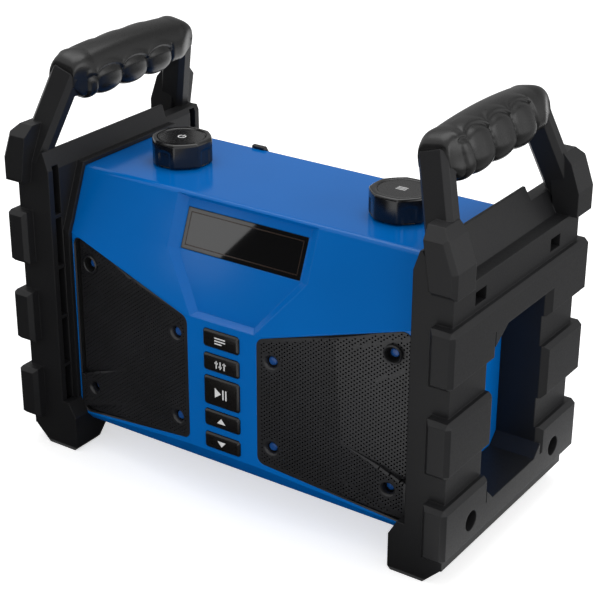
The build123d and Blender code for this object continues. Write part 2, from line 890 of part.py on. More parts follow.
# ---------------------------------------------------------------- inside the battery door
tray_floor = rear_facet.offset(-door_thick - tray_depth)
inside_half = door_half - door_ledge
inside_tall = door_tall - 2 * door_ledge
pack_x = -inside_half + pack_gap + pack_length / 2
socket_x = inside_half - pack_gap - socket_length / 2
with BuildPart() as battery_pack:
    with BuildSketch(tray_floor):
        with Locations((pack_x, -door_mid)):
            Rectangle(pack_length, inside_tall - 2 * pack_gap)
    extrude(amount=pack_height)
    fillet(battery_pack.edges().filter_by(Axis.X), pack_round)
save(battery_pack.part, "battery_pack")

with BuildPart() as socket_panel:
    with BuildSketch(tray_floor):
        with Locations((socket_x, -door_mid)):
            Rectangle(socket_length, inside_tall - 2 * pack_gap)
    extrude(amount=socket_height)
    chamfer(socket_panel.faces().sort_by(Axis(tray_floor.origin, tray_floor.z_dir))[-1].edges(), 0.8)
    with BuildSketch(tray_floor.offset(socket_height)):
        with Locations((socket_x - socket_length / 4, -door_mid)):
            Circle(jack_radius)
        with Locations((socket_x + socket_length / 4, -door_mid)):
            Circle(inlet_radius)
            RegularPolygon(inlet_pin_radius, post_sides, mode=Mode.SUBTRACT)
    extrude(amount=-socket_height + 1.5, mode=Mode.SUBTRACT)
save(socket_panel.part, "socket_panel")

# ---------------------------------------------------------------- speaker grilles
# Raised field with sunk corners, hollow behind
with BuildPart() as grille:
    with BuildSketch(floor_plane) as grille_edge:
        Polygon(*grille_outline(0), align=None)
        fillet(grille_edge.vertices(), grille_corner)
    extrude(amount=grille_thick + trough_depth + 6)
    split(bisect_by=grille_plane, keep=Keep.BOTTOM)
    add(trough_form(high_trough, 0), mode=Mode.SUBTRACT)
    add(trough_form(low_trough, 0), mode=Mode.SUBTRACT)

with BuildPart() as grille_hollow:
    with BuildSketch(floor_plane):
        Polygon(*grille_outline(grille_rim), align=None)
    extrude(amount=grille_thick + trough_depth + 6)
    split(bisect_by=grille_plane.offset(-grille_thick), keep=Keep.BOTTOM)
    add(trough_form(high_trough, grille_thick), mode=Mode.SUBTRACT)
    add(trough_form(low_trough, grille_thick), mode=Mode.SUBTRACT)

with BuildPart() as grille_pits:
    with BuildSketch(floor_plane):
        with Locations(*[along(floor_plane, x, z) for x, z in pit_places]):
            RegularPolygon(pit_radius + grille_thick, pit_sides)
    extrude(amount=grille_thick + trough_depth + 6)

with BuildPart() as right_grille:
    add(grille.part)
    add(grille_hollow.part - grille_pits.part, mode=Mode.SUBTRACT)
    with BuildSketch(floor_plane):
        with Locations(*[along(floor_plane, x, z) for x, z in pit_places]):
            RegularPolygon(pit_radius, pit_sides)
    extrude(amount=grille_thick + trough_depth + 6, mode=Mode.SUBTRACT)
save_pair(right_grille.part, "grille")

# ---------------------------------------------------------------- speakers
speaker_spot = baffle_plane.from_local_coords((*along(baffle_plane, speaker_x, speaker_z), 0))
speaker_plane = Plane(origin=speaker_spot, x_dir=baffle_plane.x_dir, z_dir=baffle_plane.z_dir)


def speaker_frustum(front_radius, front_depth, rear_radius, rear_depth):
    """A tapered round form on the speaker's axis, between two depths behind the baffle."""
    rings = []
    for radius, depth in ((front_radius, front_depth), (rear_radius, rear_depth)):
        plane = speaker_plane.offset(-depth)
        turns = [2 * pi * side / speaker_sides for side in range(speaker_sides)]
        rings.append([plane.from_local_coords((radius * cos(a), radius * sin(a), 0)) for a in turns])
    front, rear = rings
    faces = [Face(Wire.make_polygon(ring)) for ring in rings]
    for side in range(speaker_sides):
        corners = [front[side - 1], front[side], rear[side], rear[side - 1]]
        faces.append(Face(Wire.make_polygon(corners)))
    return Solid(Shell(faces))


neck_depth = basket_depth * 0.58
magnet_front_depth = basket_depth * 0.53
throat_radius = basket_neck - 1.5
with BuildPart() as speaker_basket:
    add(speaker_frustum(basket_radius, 0, basket_radius, basket_lip))
    add(speaker_frustum(basket_radius - 3, basket_lip, basket_neck, neck_depth))
    add(speaker_frustum(basket_neck, neck_depth, basket_neck, basket_depth))
    add(speaker_frustum(cone_radius, 0, throat_radius, magnet_front_depth), mode=Mode.SUBTRACT)
save_pair(speaker_basket.part, "speaker_basket")

basket_taper = (cone_radius - throat_radius) / magnet_front_depth
rim_front, rim_rear = (0.8, 2.0)  # depths of the cone's glued rim
cone_rear = cone_depth + cone_wall
with BuildPart() as speaker_cone:
    add(speaker_frustum(
        cone_radius - rim_front * basket_taper, rim_front, cone_radius - rim_rear * basket_taper, rim_rear
    ))
    add(speaker_frustum(cone_radius - 2, rim_rear, coil_radius, cone_rear))
    add(
        speaker_frustum(cone_radius - 3, rim_front, coil_radius - cone_wall, cone_depth),
        mode=Mode.SUBTRACT,
    )
    # Dust cap, then the coil that stands on the magnet
    add(speaker_frustum(coil_radius / 2, cone_depth - 2.6, coil_radius, cone_depth + 0.4))
    add(speaker_frustum(coil_radius, cone_depth + 0.4, coil_radius, magnet_front_depth))
save_pair(speaker_cone.part, "speaker_cone")

# ---------------------------------------------------------------- display
with BuildPart() as display_window:
    with BuildSketch(upper_facet.offset(-panel_depth - window_thick)):
        with Locations((0, window_mid)):
            Rectangle(2 * window_half, window_tall)
    extrude(amount=window_thick)
save(display_window.part, "display_window")

with BuildPart() as display_module:
    module_plane = upper_facet.offset(-panel_depth - wall - display_gap)
    with BuildSketch(module_plane):
        with Locations((0, window_mid)):
            Rectangle(
                2 * (window_half - display_margin + display_lap),
                window_tall - 2 * (display_margin - display_lap),
            )
    extrude(amount=-display_thick)
    with BuildSketch(module_plane):
        with Locations((0, window_mid)):
            Rectangle(
                2 * (window_half - display_margin) - 2 * seat_gap,
                window_tall - 2 * display_margin - 2 * seat_gap,
            )
    extrude(amount=wall - window_thick + display_gap)
save(display_module.part, "display_module")

# ---------------------------------------------------------------- push buttons and boards
for title, (low_z, high_z) in button_spans.items():
    with BuildPart() as button:
        with BuildSketch(Plane.XZ.offset(-flange_front_y)):
            add(key_outline(low_z, high_z, 0))
        extrude(amount=flange_front_y - face_y + button_proud)
        chamfer(button.faces().sort_by(Axis.Y)[0].edges(), button_bevel)
        with BuildSketch(Plane.XZ.offset(-flange_front_y)):
            add(key_outline(low_z, high_z, button_flange))
        extrude(amount=-flange_thick)
        with BuildSketch(Plane.XZ.offset(-flange_front_y - flange_thick)):
            with Locations((0, (low_z + high_z) / 2)):
                Rectangle(stem_size, stem_size)
        extrude(amount=-stem_length)
    save(button.part, f"{title}_button")

with BuildPart() as button_board:
    with BuildSketch(Plane.XZ.offset(-button_board_y)):
        with Locations((0, button_board_z)):
            Rectangle(*button_board_size)
    extrude(amount=-board_thick)
    with BuildSketch(Plane.XZ.offset(-button_board_y)):
        for low_z, high_z in button_spans.values():
            with Locations((0, (low_z + high_z) / 2)):
                Rectangle(switch_size, switch_size)
    extrude(amount=switch_height)
save(button_board.part, "button_board")

main_board_z = bottom_z + wall + main_board_lift
with BuildPart() as main_board:
    with BuildSketch(Plane.XY.offset(main_board_z)):
        with Locations((0, main_board_y)):
            Rectangle(*main_board_size)
    extrude(amount=board_thick)
    # Amplifier with its cooling fins, radio module, two capacitors
    with BuildSketch(Plane.XY.offset(main_board_z + board_thick)):
        with Locations((-main_board_size[0] / 4, main_board_y)):
            with GridLocations(fin_pitch, 0, fin_count, 1):
                Rectangle(fin_thick, fin_width)
    extrude(amount=fin_height)
    with BuildSketch(Plane.XY.offset(main_board_z + board_thick)):
        with Locations((-main_board_size[0] / 4, main_board_y)):
            Rectangle(fin_count * fin_pitch, fin_width)
    extrude(amount=fin_thick)
    with BuildSketch(Plane.XY.offset(main_board_z + board_thick)):
        with Locations((main_board_size[0] / 4, main_board_y - main_board_size[1] / 5)):
            Rectangle(radio_module[0], radio_module[1])
    extrude(amount=radio_module[2])
    with BuildSketch(Plane.XY.offset(main_board_z + board_thick)):
        with Locations((main_board_size[0] / 4, main_board_y + main_board_size[1] / 5)):
            with GridLocations(3 * capacitor_radius, 0, 2, 1):
                RegularPolygon(capacitor_radius, post_sides)
    extrude(amount=2 * capacitor_radius)
save(main_board.part, "main_board")

# ---------------------------------------------------------------- knobs and their encoders
knob_top_z = knob_base_z + knob_height
bush_top_z = ceiling_z + bush_height
chamber_low_z = ceiling_z - encoder_height + plunger_floor
plunger_low_z = chamber_low_z + push_travel + slide_gap
shaft_low_z = plunger_low_z + plunger_thick
chamber_high_z = shaft_low_z + collar_height + slide_gap
hub_low_z = bush_top_z + push_travel + slide_gap
cap_low_z = knob_top_z - cap_sink - cap_thick
knob_ceiling_z = cap_low_z - knob_wall
with BuildPart() as knob:
    with BuildSketch(Plane.XY.offset(knob_base_z)):
        with Locations((knob_x, knob_y)):
            add(knob_outline())
    extrude(amount=knob_height)
    chamfer(knob.faces().sort_by(Axis.Z)[-1].edges(), knob_bevel)
    with BuildSketch(Plane.XY.offset(knob_base_z)):
        with Locations((knob_x, knob_y)):
            RegularPolygon(
                knob_side_radius - knob_wall, knob_sides, major_radius=False, rotation=180 / knob_sides
            )
    extrude(amount=knob_ceiling_z - knob_base_z, mode=Mode.SUBTRACT)
    with BuildSketch(Plane.XY.offset(hub_low_z)):
        with Locations((knob_x, knob_y)):
            RegularPolygon(hub_radius, knob_sides)
    extrude(amount=knob_ceiling_z - hub_low_z)
    with BuildSketch(Plane.XY.offset(hub_low_z)):
        with Locations((knob_x, knob_y)):
            Circle(shaft_radius)
    extrude(amount=knob_ceiling_z - hub_low_z, mode=Mode.SUBTRACT)
    with BuildSketch(Plane.XY.offset(cap_low_z)):
        with Locations((knob_x, knob_y)):
            Circle(cap_radius)
    extrude(amount=cap_thick + cap_sink, mode=Mode.SUBTRACT)
save_pair(knob.part, "knob")

with BuildPart() as knob_cap:
    with BuildSketch(Plane.XY.offset(cap_low_z)):
        with Locations((knob_x, knob_y)):
            Circle(cap_radius)
    extrude(amount=cap_thick)
save_pair(knob_cap.part, "knob_cap")

with BuildPart() as encoder_shaft:
    with BuildSketch(Plane.XY.offset(shaft_low_z)):
        with Locations((knob_x, knob_y)):
            Circle(shaft_radius)
    extrude(amount=knob_ceiling_z - shaft_low_z)
    with BuildSketch(Plane.XY.offset(shaft_low_z)):
        with Locations((knob_x, knob_y)):
            RegularPolygon(plunger_radius, post_sides)
    extrude(amount=collar_height)
save_pair(encoder_shaft.part, "encoder_shaft")

with BuildPart() as encoder:
    with BuildSketch(Plane.XY.offset(ceiling_z)):
        with Locations((knob_x, knob_y)):
            Rectangle(encoder_size, encoder_size)
    extrude(amount=-encoder_height)
    with BuildSketch(Plane.XY.offset(ceiling_z)):
        with Locations((knob_x, knob_y)):
            RegularPolygon(bush_radius, post_sides)
    extrude(amount=bush_height)
    with BuildSketch(Plane.XY.offset(chamber_high_z)):
        with Locations((knob_x, knob_y)):
            Circle(shaft_radius + shaft_gap)
    extrude(amount=bush_top_z - chamber_high_z, mode=Mode.SUBTRACT)
    with BuildSketch(Plane.XY.offset(chamber_low_z)):
        with Locations((knob_x, knob_y)):
            RegularPolygon(plunger_radius + slide_gap, post_sides, major_radius=False)
    extrude(amount=chamber_high_z - chamber_low_z, mode=Mode.SUBTRACT)
save_pair(encoder.part, "encoder")

with BuildPart() as plunger:
    with BuildSketch(Plane.XY.offset(plunger_low_z)):
        with Locations((knob_x, knob_y)):
            RegularPolygon(plunger_radius, post_sides)
    extrude(amount=plunger_thick)
save_pair(plunger.part, "plunger")

# ---------------------------------------------------------------- end frames
window_outline = [
    (-frame_window_half, frame_window_low + window_corner),
    (-frame_window_half + window_corner, frame_window_low),
    (frame_window_half - window_corner, frame_window_low),
    (frame_window_half, frame_window_low + window_corner),
    (frame_window_half, frame_window_high),
    (-frame_window_half + window_slant[0], frame_window_high),
    (-frame_window_half, frame_window_high - window_slant[1]),
]
with BuildPart() as handle_core:
    with BuildSketch(handle_plane.offset(-leg_width / 2)):
        Polygon(*handle_outline(), align=None)
    extrude(amount=leg_width)
    chamfer(
        handle_core.faces().filter_by(handle_plane).edges().filter_by(lambda e: e.length > 4 * leg_bevel),
        leg_bevel,
    )

with BuildPart() as shoulder:
    with BuildSketch(Plane.XZ.offset(-block_y)):
        Polygon(
            (block_in_x, ledge_z - 0.2),
            (block_out_x, ledge_z - 0.2),
            (block_out_x, shoulder_turn_z),
            (housing_half + shoulder_side[0], shoulder_side[1]),
            (shoulder_out_x, shoulder_top_z),
            (shoulder_in_x, shoulder_top_z),
            (shoulder_in_x + 1.3, shoulder_top_z - shoulder_slant),
            align=None,
        )
    extrude(amount=2 * block_y)
    with BuildSketch(Plane.YZ.offset(shoulder_in_x)):
        Polygon(
            (block_y, ledge_z - 0.2),
            (block_y, shoulder_top_z - shoulder_slant),
            (block_y - shoulder_slant, shoulder_top_z),
            (shoulder_rear_y, shoulder_top_z),
            (shoulder_rear_y, ledge_z - 0.2),
            align=None,
        )
    extrude(amount=block_out_x, mode=Mode.INTERSECT)
    chamfer(
        shoulder.edges().filter_by_position(Axis.X, shoulder_out_x + 1, block_out_x)
        .filter_by_position(Axis.Y, block_y - 0.01, block_y + 0.01),
        block_bevel,
    )

with BuildPart() as plate:
    with BuildSketch(Plane.XY.offset(tier_low_z)):
        with Locations(((block_in_x + block_out_x) / 2, 0)):
            Rectangle(block_out_x - block_in_x, 2 * block_y)
    extrude(amount=tier_height)
    hidden_edges = plate.faces().sort_by(Axis.X)[0].edges().filter_by(Axis.Y)
    chamfer(plate.edges() - hidden_edges, block_bevel)

with BuildPart() as foot:
    # Section along X, then a rising bevel towards the middle
    with BuildSketch(Plane.XZ.offset(-post_y)):
        Polygon(
            (foot_in_x, foot_edge),
            (foot_in_x + foot_edge, 0),
            (foot_flat_x, 0),
            (foot_out_x, skirt_z),
            (foot_out_x, foot_top_z),
            (housing_half - collar_reach, foot_top_z),
            (foot_in_x, foot_top_z - 2 * collar_reach),
            align=None,
        )
    extrude(amount=2 * post_y)
    with BuildSketch(Plane.YZ.offset(foot_in_x)):
        for side in (1, -1):
            Polygon(
                (side * post_y, 0),
                (side * foot_flat_y, 0),
                (side * (foot_flat_y - foot_rise_y), skirt_z),
                (side * (foot_flat_y - foot_rise_y), foot_top_z),
                (side * post_y, foot_top_z),
                align=None,
            )
    extrude(amount=foot_out_x, mode=Mode.INTERSECT)

# Collar that grips the end of the housing
with BuildPart() as collar:
    add(housing_form(-collar_thick))
    split(bisect_by=Plane.YZ.offset(housing_half - collar_reach), keep=Keep.TOP)
    split(bisect_by=Plane.YZ.offset(post_in_x), keep=Keep.BOTTOM)

post_hollow_low = bolt_low[1] + bolt_well_radius + core_wall
post_hollow_high = bolt_high[1] - high_well[1] / 2 - core_wall
post_hollow_in = frame_window_half + core_wall
high_hollow_half = bolt_high[0] - high_well[0] / 2 - core_wall
low_hollow_half = bolt_low[0] - bolt_well_radius - core_wall
hollows = [  # Y and Z of two opposite corners
    (post_hollow_in, core_out_y, post_hollow_low, post_hollow_high),
    (-post_hollow_in, -core_out_y, post_hollow_low, post_hollow_high),
    (-high_hollow_half, high_hollow_half, frame_window_high + core_wall, ledge_z - core_wall),
    (-low_hollow_half, low_hollow_half, bottom_z + core_wall, frame_window_low - core_wall),
]

with BuildPart() as end_frame:
    # Slab, then the slope on top of it, lower behind the rear ridge
    with BuildSketch(Plane.YZ.offset(post_in_x)):
        with Locations((0, (skirt_z + ledge_z) / 2)):
            Rectangle(2 * post_y, ledge_z - skirt_z)
    extrude(amount=post_out_x - post_in_x)
    with BuildSketch(Plane.XZ.offset(post_y)):
        Polygon(*saddle_outline(saddle_top_z), align=None)
    extrude(amount=-post_y - rear_ridge_y)
    with BuildSketch(Plane.XZ.offset(-rear_ridge_y)):
        Polygon(*saddle_outline(saddle_top_z - saddle_drop), align=None)
    extrude(amount=-post_y + rear_ridge_y)
    with Locations(*[(0, 0, n * tier_pitch) for n in range(tier_count)]):
        add(plate.part)
    add(foot.part)
    add(collar.part)
    add(shoulder.part)
    mirror(shoulder.part, about=Plane.XZ)
    add(handle_core.part)
    # Window
    with BuildSketch(Plane.YZ.offset(housing_half - collar_reach)):
        Polygon(*window_outline, align=None)
    extrude(amount=block_out_x, mode=Mode.SUBTRACT)
    with BuildSketch(Plane.XY.offset(frame_window_low)):
        for side, size in ((-1, plate_bevel[0]), (1, plate_bevel[1])):
            Polygon(
                (block_out_x - size, side * frame_window_half),
                (block_out_x, side * (frame_window_half + size)),
                (block_out_x, side * frame_window_half),
                align=None,
            )
    extrude(amount=frame_window_high - frame_window_low, mode=Mode.SUBTRACT)
    # Rib pockets along both posts, behind the inner lip
    pocket_tall = (pocket_high_z - pocket_low_z - (pocket_count - 1) * pocket_rib) / pocket_count
    with BuildSketch(Plane.YZ.offset(post_in_x)):
        for side in (1, -1):
            with Locations(
                (side * (post_y - lip_depth - pocket_width / 2), (pocket_low_z + pocket_high_z) / 2)
            ):
                with GridLocations(0, pocket_tall + pocket_rib, 1, pocket_count):
                    Rectangle(pocket_width, pocket_tall)
    extrude(amount=pocket_depth, mode=Mode.SUBTRACT)
    # Hidden hollows between the posts' walls, above and below the window
    with BuildSketch(Plane.YZ.offset(post_in_x)):
        for front_y, back_y, low_z, high_z in hollows:
            Polygon(
                (front_y, low_z), (back_y, low_z), (back_y, high_z), (front_y, high_z), align=None
            )
    extrude(amount=core_depth, mode=Mode.SUBTRACT)
    # Bolt wells and bolt holes
    for side in (1, -1):
        with BuildSketch(Plane.YZ.offset(bolt_seat_x)):
            with Locations((side * bolt_low[0], bolt_low[1])):
                Circle(bolt_well_radius)
            with Locations((side * bolt_high[0], bolt_high[1])):
                Rectangle(*high_well)
        extrude(amount=block_out_x - bolt_seat_x, mode=Mode.SUBTRACT)
        with BuildSketch(Plane.YZ.offset(post_in_x)):
            with Locations(
                (side * bolt_low[0], bolt_low[1]), (side * bolt_high[0], bolt_high[1])
            ):
                RegularPolygon(bolt_hole_radius, post_sides, major_radius=False)
        extrude(amount=bolt_seat_x - post_in_x, mode=Mode.SUBTRACT)
    add(housing_form(-collar_gap), mode=Mode.SUBTRACT)
save_pair(end_frame.part, "end_frame")

# ---------------------------------------------------------------- handle grips
grip_plane = Plane(
    origin=handle_plane.from_local_coords((0, grip_axis, 0)),
    x_dir=handle_plane.x_dir,
    z_dir=(cos(radians(grip_lean)), 0, sin(radians(grip_lean))),
)
grip_section = Plane(
    origin=grip_plane.origin, x_dir=grip_plane.z_dir, z_dir=-grip_plane.x_dir
)
palm_plane = Plane(origin=grip_plane.origin, x_dir=grip_plane.x_dir, z_dir=grip_section.y_dir)
grip_half = leg_front_y - leg_slope * knee_height - grip_setback
crown_half = grip_half - grip_end_round
palm_reach = grip_top - grip_axis
crown_foot = palm_reach - grip_crown
round_bend = grip_end_round * (1 - cos(pi / 4))
with BuildPart() as grip:
    with BuildSketch(grip_section) as rounded_section:
        with Locations((0, (palm_reach - lobe_reach) / 2)):
            Rectangle(grip_width, palm_reach + lobe_reach)
        fillet(rounded_section.vertices(), grip_round)
    extrude(amount=grip_half, both=True)
    # Side view: crowned palm side, and a finger side of shallow lobes
    with BuildSketch(grip_plane.offset(-grip_width)):
        with BuildLine():
            Line((-grip_half, 0), (-grip_half, crown_foot - grip_end_round))
            ThreePointArc(
                (-grip_half, crown_foot - grip_end_round),
                (-grip_half + round_bend, crown_foot - round_bend),
                (-crown_half, crown_foot),
            )
            ThreePointArc((-crown_half, crown_foot), (0, palm_reach), (crown_half, crown_foot))
            ThreePointArc(
                (crown_half, crown_foot),
                (grip_half - round_bend, crown_foot - round_bend),
                (grip_half, crown_foot - grip_end_round),
            )
            Polyline(
                (grip_half, crown_foot - grip_end_round),
                (grip_half, 0),
                (lobe_span / 2, 0),
                (lobe_span / 2, -notch_reach),
            )
            lobe = lobe_span / lobe_count
            for n in range(lobe_count):
                start = lobe_span / 2 - n * lobe
                ThreePointArc(
                    (start, -notch_reach),
                    (start - lobe / 2, -lobe_reach),
                    (start - lobe, -notch_reach),
                )
            Polyline(
                (-lobe_span / 2, -notch_reach),
                (-lobe_span / 2, 0),
                (-grip_half, 0),
            )
        make_face()
    extrude(amount=2 * grip_width, mode=Mode.INTERSECT)
    # Narrower at both ends
    with BuildSketch(palm_plane):
        Polygon(
            (-grip_half, -leg_width / 2),
            (grip_taper - grip_half, -grip_width / 2),
            (grip_half - grip_taper, -grip_width / 2),
            (grip_half, -leg_width / 2),
            (grip_half, leg_width / 2),
            (grip_half - grip_taper, grip_width / 2),
            (grip_taper - grip_half, grip_width / 2),
            (-grip_half, leg_width / 2),
            align=None,
        )
    extrude(amount=palm_reach, both=True, mode=Mode.INTERSECT)
    add(handle_core.part, mode=Mode.SUBTRACT)
save_pair(grip.part, "handle_grip")

# ---------------------------------------------------------------- frame bolts and case screws
with BuildPart() as frame_bolts:
    for side in (1, -1):
        with BuildSketch(Plane.YZ.offset(side * bolt_seat_x)):
            with Locations(*bolt_places):
                RegularPolygon(bolt_head_radius, 6)
        extrude(amount=side * bolt_head_height)
        with BuildSketch(Plane.YZ.offset(side * bolt_seat_x)):
            with Locations(*bolt_places):
                RegularPolygon(bolt_radius, post_sides)
        extrude(amount=-side * (bolt_seat_x - housing_half + bolt_boss_length - bolt_end_gap))
save(frame_bolts.part, "frame_bolts")

with BuildPart() as case_screws:
    for x, z in case_screw_places:
        with BuildSketch(Plane.XZ.offset(case_well_depth - rear_y)):
            with Locations((x, z), (-x, z)):
                RegularPolygon(screw_head_radius, post_sides)
        extrude(amount=-screw_head_height)
        with BuildSketch(Plane.XZ.offset(case_well_depth - rear_y)):
            with Locations((x, z), (-x, z)):
                RegularPolygon(screw_radius, post_sides)
        extrude(amount=case_screw_length)
save(case_screws.part, "case_screws")
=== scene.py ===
import bpy
import bmesh
import math
from mathutils import Matrix, Vector, geometry


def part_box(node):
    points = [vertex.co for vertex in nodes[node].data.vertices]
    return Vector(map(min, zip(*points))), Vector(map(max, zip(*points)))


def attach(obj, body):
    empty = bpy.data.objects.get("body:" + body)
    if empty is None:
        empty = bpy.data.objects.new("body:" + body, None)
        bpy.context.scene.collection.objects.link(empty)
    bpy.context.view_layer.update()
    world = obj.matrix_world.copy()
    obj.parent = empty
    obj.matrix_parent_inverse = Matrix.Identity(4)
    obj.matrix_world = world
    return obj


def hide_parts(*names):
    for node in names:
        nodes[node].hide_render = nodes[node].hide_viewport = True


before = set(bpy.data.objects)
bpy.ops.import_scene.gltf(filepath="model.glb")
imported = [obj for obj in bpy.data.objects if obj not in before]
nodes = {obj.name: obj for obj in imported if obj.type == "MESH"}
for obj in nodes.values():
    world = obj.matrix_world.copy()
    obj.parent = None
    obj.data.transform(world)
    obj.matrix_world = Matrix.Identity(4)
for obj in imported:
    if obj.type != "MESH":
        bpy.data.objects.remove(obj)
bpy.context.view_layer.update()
print("frame loaded:", len(nodes), "nodes")

mm = 0.001


# ---- colours and shader nodes
def toLinear(hexColour):
    parts = [int(hexColour[i:i + 2], 16) / 255 for i in (1, 3, 5)]
    return [p / 12.92 if p <= 0.04045 else ((p + 0.055) / 1.055) ** 2.4 for p in parts] + [1.0]


def addNode(material, kind, settings=None, links=None):
    # settings: socket or property name to value; links: input socket to (node, output socket)
    tree = material.node_tree
    node = tree.nodes.new(kind)
    for key, value in (settings or {}).items():
        if key == "stops":  # a colour ramp's (position, hex colour) pairs
            for element, (position, colour) in zip(node.color_ramp.elements, value):
                element.position = position
                element.color = toLinear(colour)
        elif isinstance(key, int) or key in node.inputs:
            node.inputs[key].default_value = value
        else:
            setattr(node, key, value)
    for key, (source, output) in (links or {}).items():
        tree.links.new(source.outputs[output], node.inputs[key])
    return node


def newMaterial(name):
    material = bpy.data.materials.new(name)
    material.use_nodes = True
    return material, material.node_tree.nodes["Principled BSDF"]


def joinNodes(material, source, output, target, socket):
    material.node_tree.links.new(source.outputs[output], target.inputs[socket])


def setShader(shader, settings):
    for key, value in settings.items():
        shader.inputs[key].default_value = value


def mouldedPlastic(name, look):
    # a base colour that drifts a little, a fine surface texture, a roughness that drifts and
    # edges that shade as if rounded by edgeMm
    material, shader = newMaterial(name)
    place = addNode(material, "ShaderNodeTexCoord")
    drift = addNode(material, "ShaderNodeTexNoise",
                    {"Scale": 1 / (look["driftMm"] * mm), "Detail": 2.0},
                    {"Vector": (place, "Object")})
    colour = addNode(material, "ShaderNodeValToRGB",
                     {"stops": [(0.3, look["dark"]), (0.7, look["light"])]},
                     {"Fac": (drift, "Fac")})
    joinNodes(material, colour, "Color", shader, "Base Color")
    grain = addNode(material, "ShaderNodeTexNoise",
                    {"Scale": 1 / (look["grainMm"] * mm), "Detail": 3.0, "Roughness": 0.6},
                    {"Vector": (place, "Object")})
    gloss = addNode(material, "ShaderNodeMapRange",
                    {"From Min": 0.3, "From Max": 0.7,
                     "To Min": look["rough"] - look["roughDrift"],
                     "To Max": look["rough"] + look["roughDrift"]},
                    {"Value": (grain, "Fac")})
    joinNodes(material, gloss, "Result", shader, "Roughness")
    soft = addNode(material, "ShaderNodeBevel",
                   {"samples": 6, "Radius": look.get("edgeMm", 0.4) * mm})
    bump = addNode(material, "ShaderNodeBump",
                   {"Strength": look["bump"], "Distance": look["bumpMm"] * mm},
                   {"Height": (grain, "Fac"), "Normal": (soft, "Normal")})
    joinNodes(material, bump, "Normal", shader, "Normal")
    setShader(shader, look.get("shader", {}))
    return material


# ABS, injection moulded and polished in the tool: deep colour under a clean, sharp gloss
blueAbs = mouldedPlastic("absPolished", {
    "dark": "#0069be", "light": "#006cc3", "driftMm": 60, "grainMm": 9, "rough": 0.14,
    "roughDrift": 0.015, "bump": 0.02, "bumpMm": 0.05, "edgeMm": 0.9,
    "shader": {"IOR": 1.54, "Specular IOR Level": 0.2}})
# Polypropylene, moulded in a spark-eroded tool: an even dull black that greys where light rakes it.
# The real grain is 0.1 mm; 1.2 mm is the finest that shows
framePp = mouldedPlastic("polypropyleneSparkTextured", {
    "dark": "#18181a", "light": "#1b1b1c", "driftMm": 40, "grainMm": 1.2, "rough": 0.5,
    "roughDrift": 0.05, "bump": 0.1, "bumpMm": 0.08, "edgeMm": 0.8,
    "shader": {"IOR": 1.49, "Specular IOR Level": 0.35}})
# Thermoplastic rubber, overmoulded: softer and darker than the frame, a broad satin sheen
gripRubber = mouldedPlastic("rubberOvermoulded", {
    "dark": "#101010", "light": "#141414", "driftMm": 25, "grainMm": 1.0, "rough": 0.31,
    "roughDrift": 0.05, "bump": 0.06, "bumpMm": 0.06, "edgeMm": 0.3,
    "shader": {"IOR": 1.5, "Specular IOR Level": 0.4}})
# Sheet punched and powder coated: black, with a faint grey sheen between the holes
grilleCoat = mouldedPlastic("powderCoatedMesh", {
    "dark": "#202022", "light": "#262629", "driftMm": 30, "grainMm": 1.5, "rough": 0.4,
    "roughDrift": 0.05, "bump": 0.05, "bumpMm": 0.04, "edgeMm": 0.15,
    "shader": {"IOR": 1.5, "Specular IOR Level": 0.5}})
# Near-black sheet bonded behind the grille, also lining the pits' cups: painted shade, standing in for
# the dark inside of the case seen through the holes and for the shade deep in the pits
paintedShadeBlack = mouldedPlastic("nearBlackPaintedShade", {
    "dark": "#060606", "light": "#0b0b0b", "driftMm": 6, "grainMm": 0.8, "rough": 0.95,
    "roughDrift": 0.03, "bump": 0.3, "bumpMm": 0.1, "shader": {"IOR": 1.35}})
# Steel, lacquered blue, for the discs in the grilles' pits: deep colour, small soft highlight
screwPaint = mouldedPlastic("steelBlueLacquer", {
    "dark": "#0f4d96", "light": "#12529c", "driftMm": 6, "grainMm": 0.8, "rough": 0.3,
    "roughDrift": 0.05, "bump": 0.05, "bumpMm": 0.03, "shader": {"IOR": 1.5}})
# ABS, moulded satin: key caps
keyAbs = mouldedPlastic("absSatinKeys", {
    "dark": "#151313", "light": "#1a1817", "driftMm": 12, "grainMm": 1.0, "rough": 0.3,
    "roughDrift": 0.04, "bump": 0.03, "bumpMm": 0.03, "shader": {"IOR": 1.53}})
# Acrylic, cast and dyed smoke: a black mirror
windowAcrylic = mouldedPlastic("acrylicSmoked", {
    "dark": "#060607", "light": "#080809", "driftMm": 50, "grainMm": 20, "rough": 0.03,
    "roughDrift": 0.005, "bump": 0.01, "bumpMm": 0.02, "edgeMm": 0.2, "shader": {"IOR": 1.49}})
# ABS, moulded glossy: knob bodies with long soft highlights
knobAbs = mouldedPlastic("absGlossKnob", {
    "dark": "#0d0d0e", "light": "#121213", "driftMm": 15, "grainMm": 4, "rough": 0.2,
    "roughDrift": 0.02, "bump": 0.02, "bumpMm": 0.03, "shader": {"IOR": 1.54}})
# ABS, fine spun finish on the knob's cap
capAbs = mouldedPlastic("absSatinCap", {
    "dark": "#141415", "light": "#19191a", "driftMm": 15, "grainMm": 1.2, "rough": 0.26,
    "roughDrift": 0.04, "bump": 0.03, "bumpMm": 0.03, "shader": {"IOR": 1.54}})
# Steel, turned and nickel plated
brightSteel = mouldedPlastic("steelNickelPlated", {
    "dark": "#b4b2ae", "light": "#c2c0bc", "driftMm": 6, "grainMm": 0.8, "rough": 0.3,
    "roughDrift": 0.06, "bump": 0.04, "bumpMm": 0.02, "shader": {"Metallic": 1.0}})
# Steel with a black oxide finish: dark grey, slightly oily gloss
blackSteel = mouldedPlastic("steelBlackOxide", {
    "dark": "#2a2a2b", "light": "#343435", "driftMm": 4, "grainMm": 0.8, "rough": 0.38,
    "roughDrift": 0.06, "bump": 0.05, "bumpMm": 0.02, "shader": {"Metallic": 0.9}})
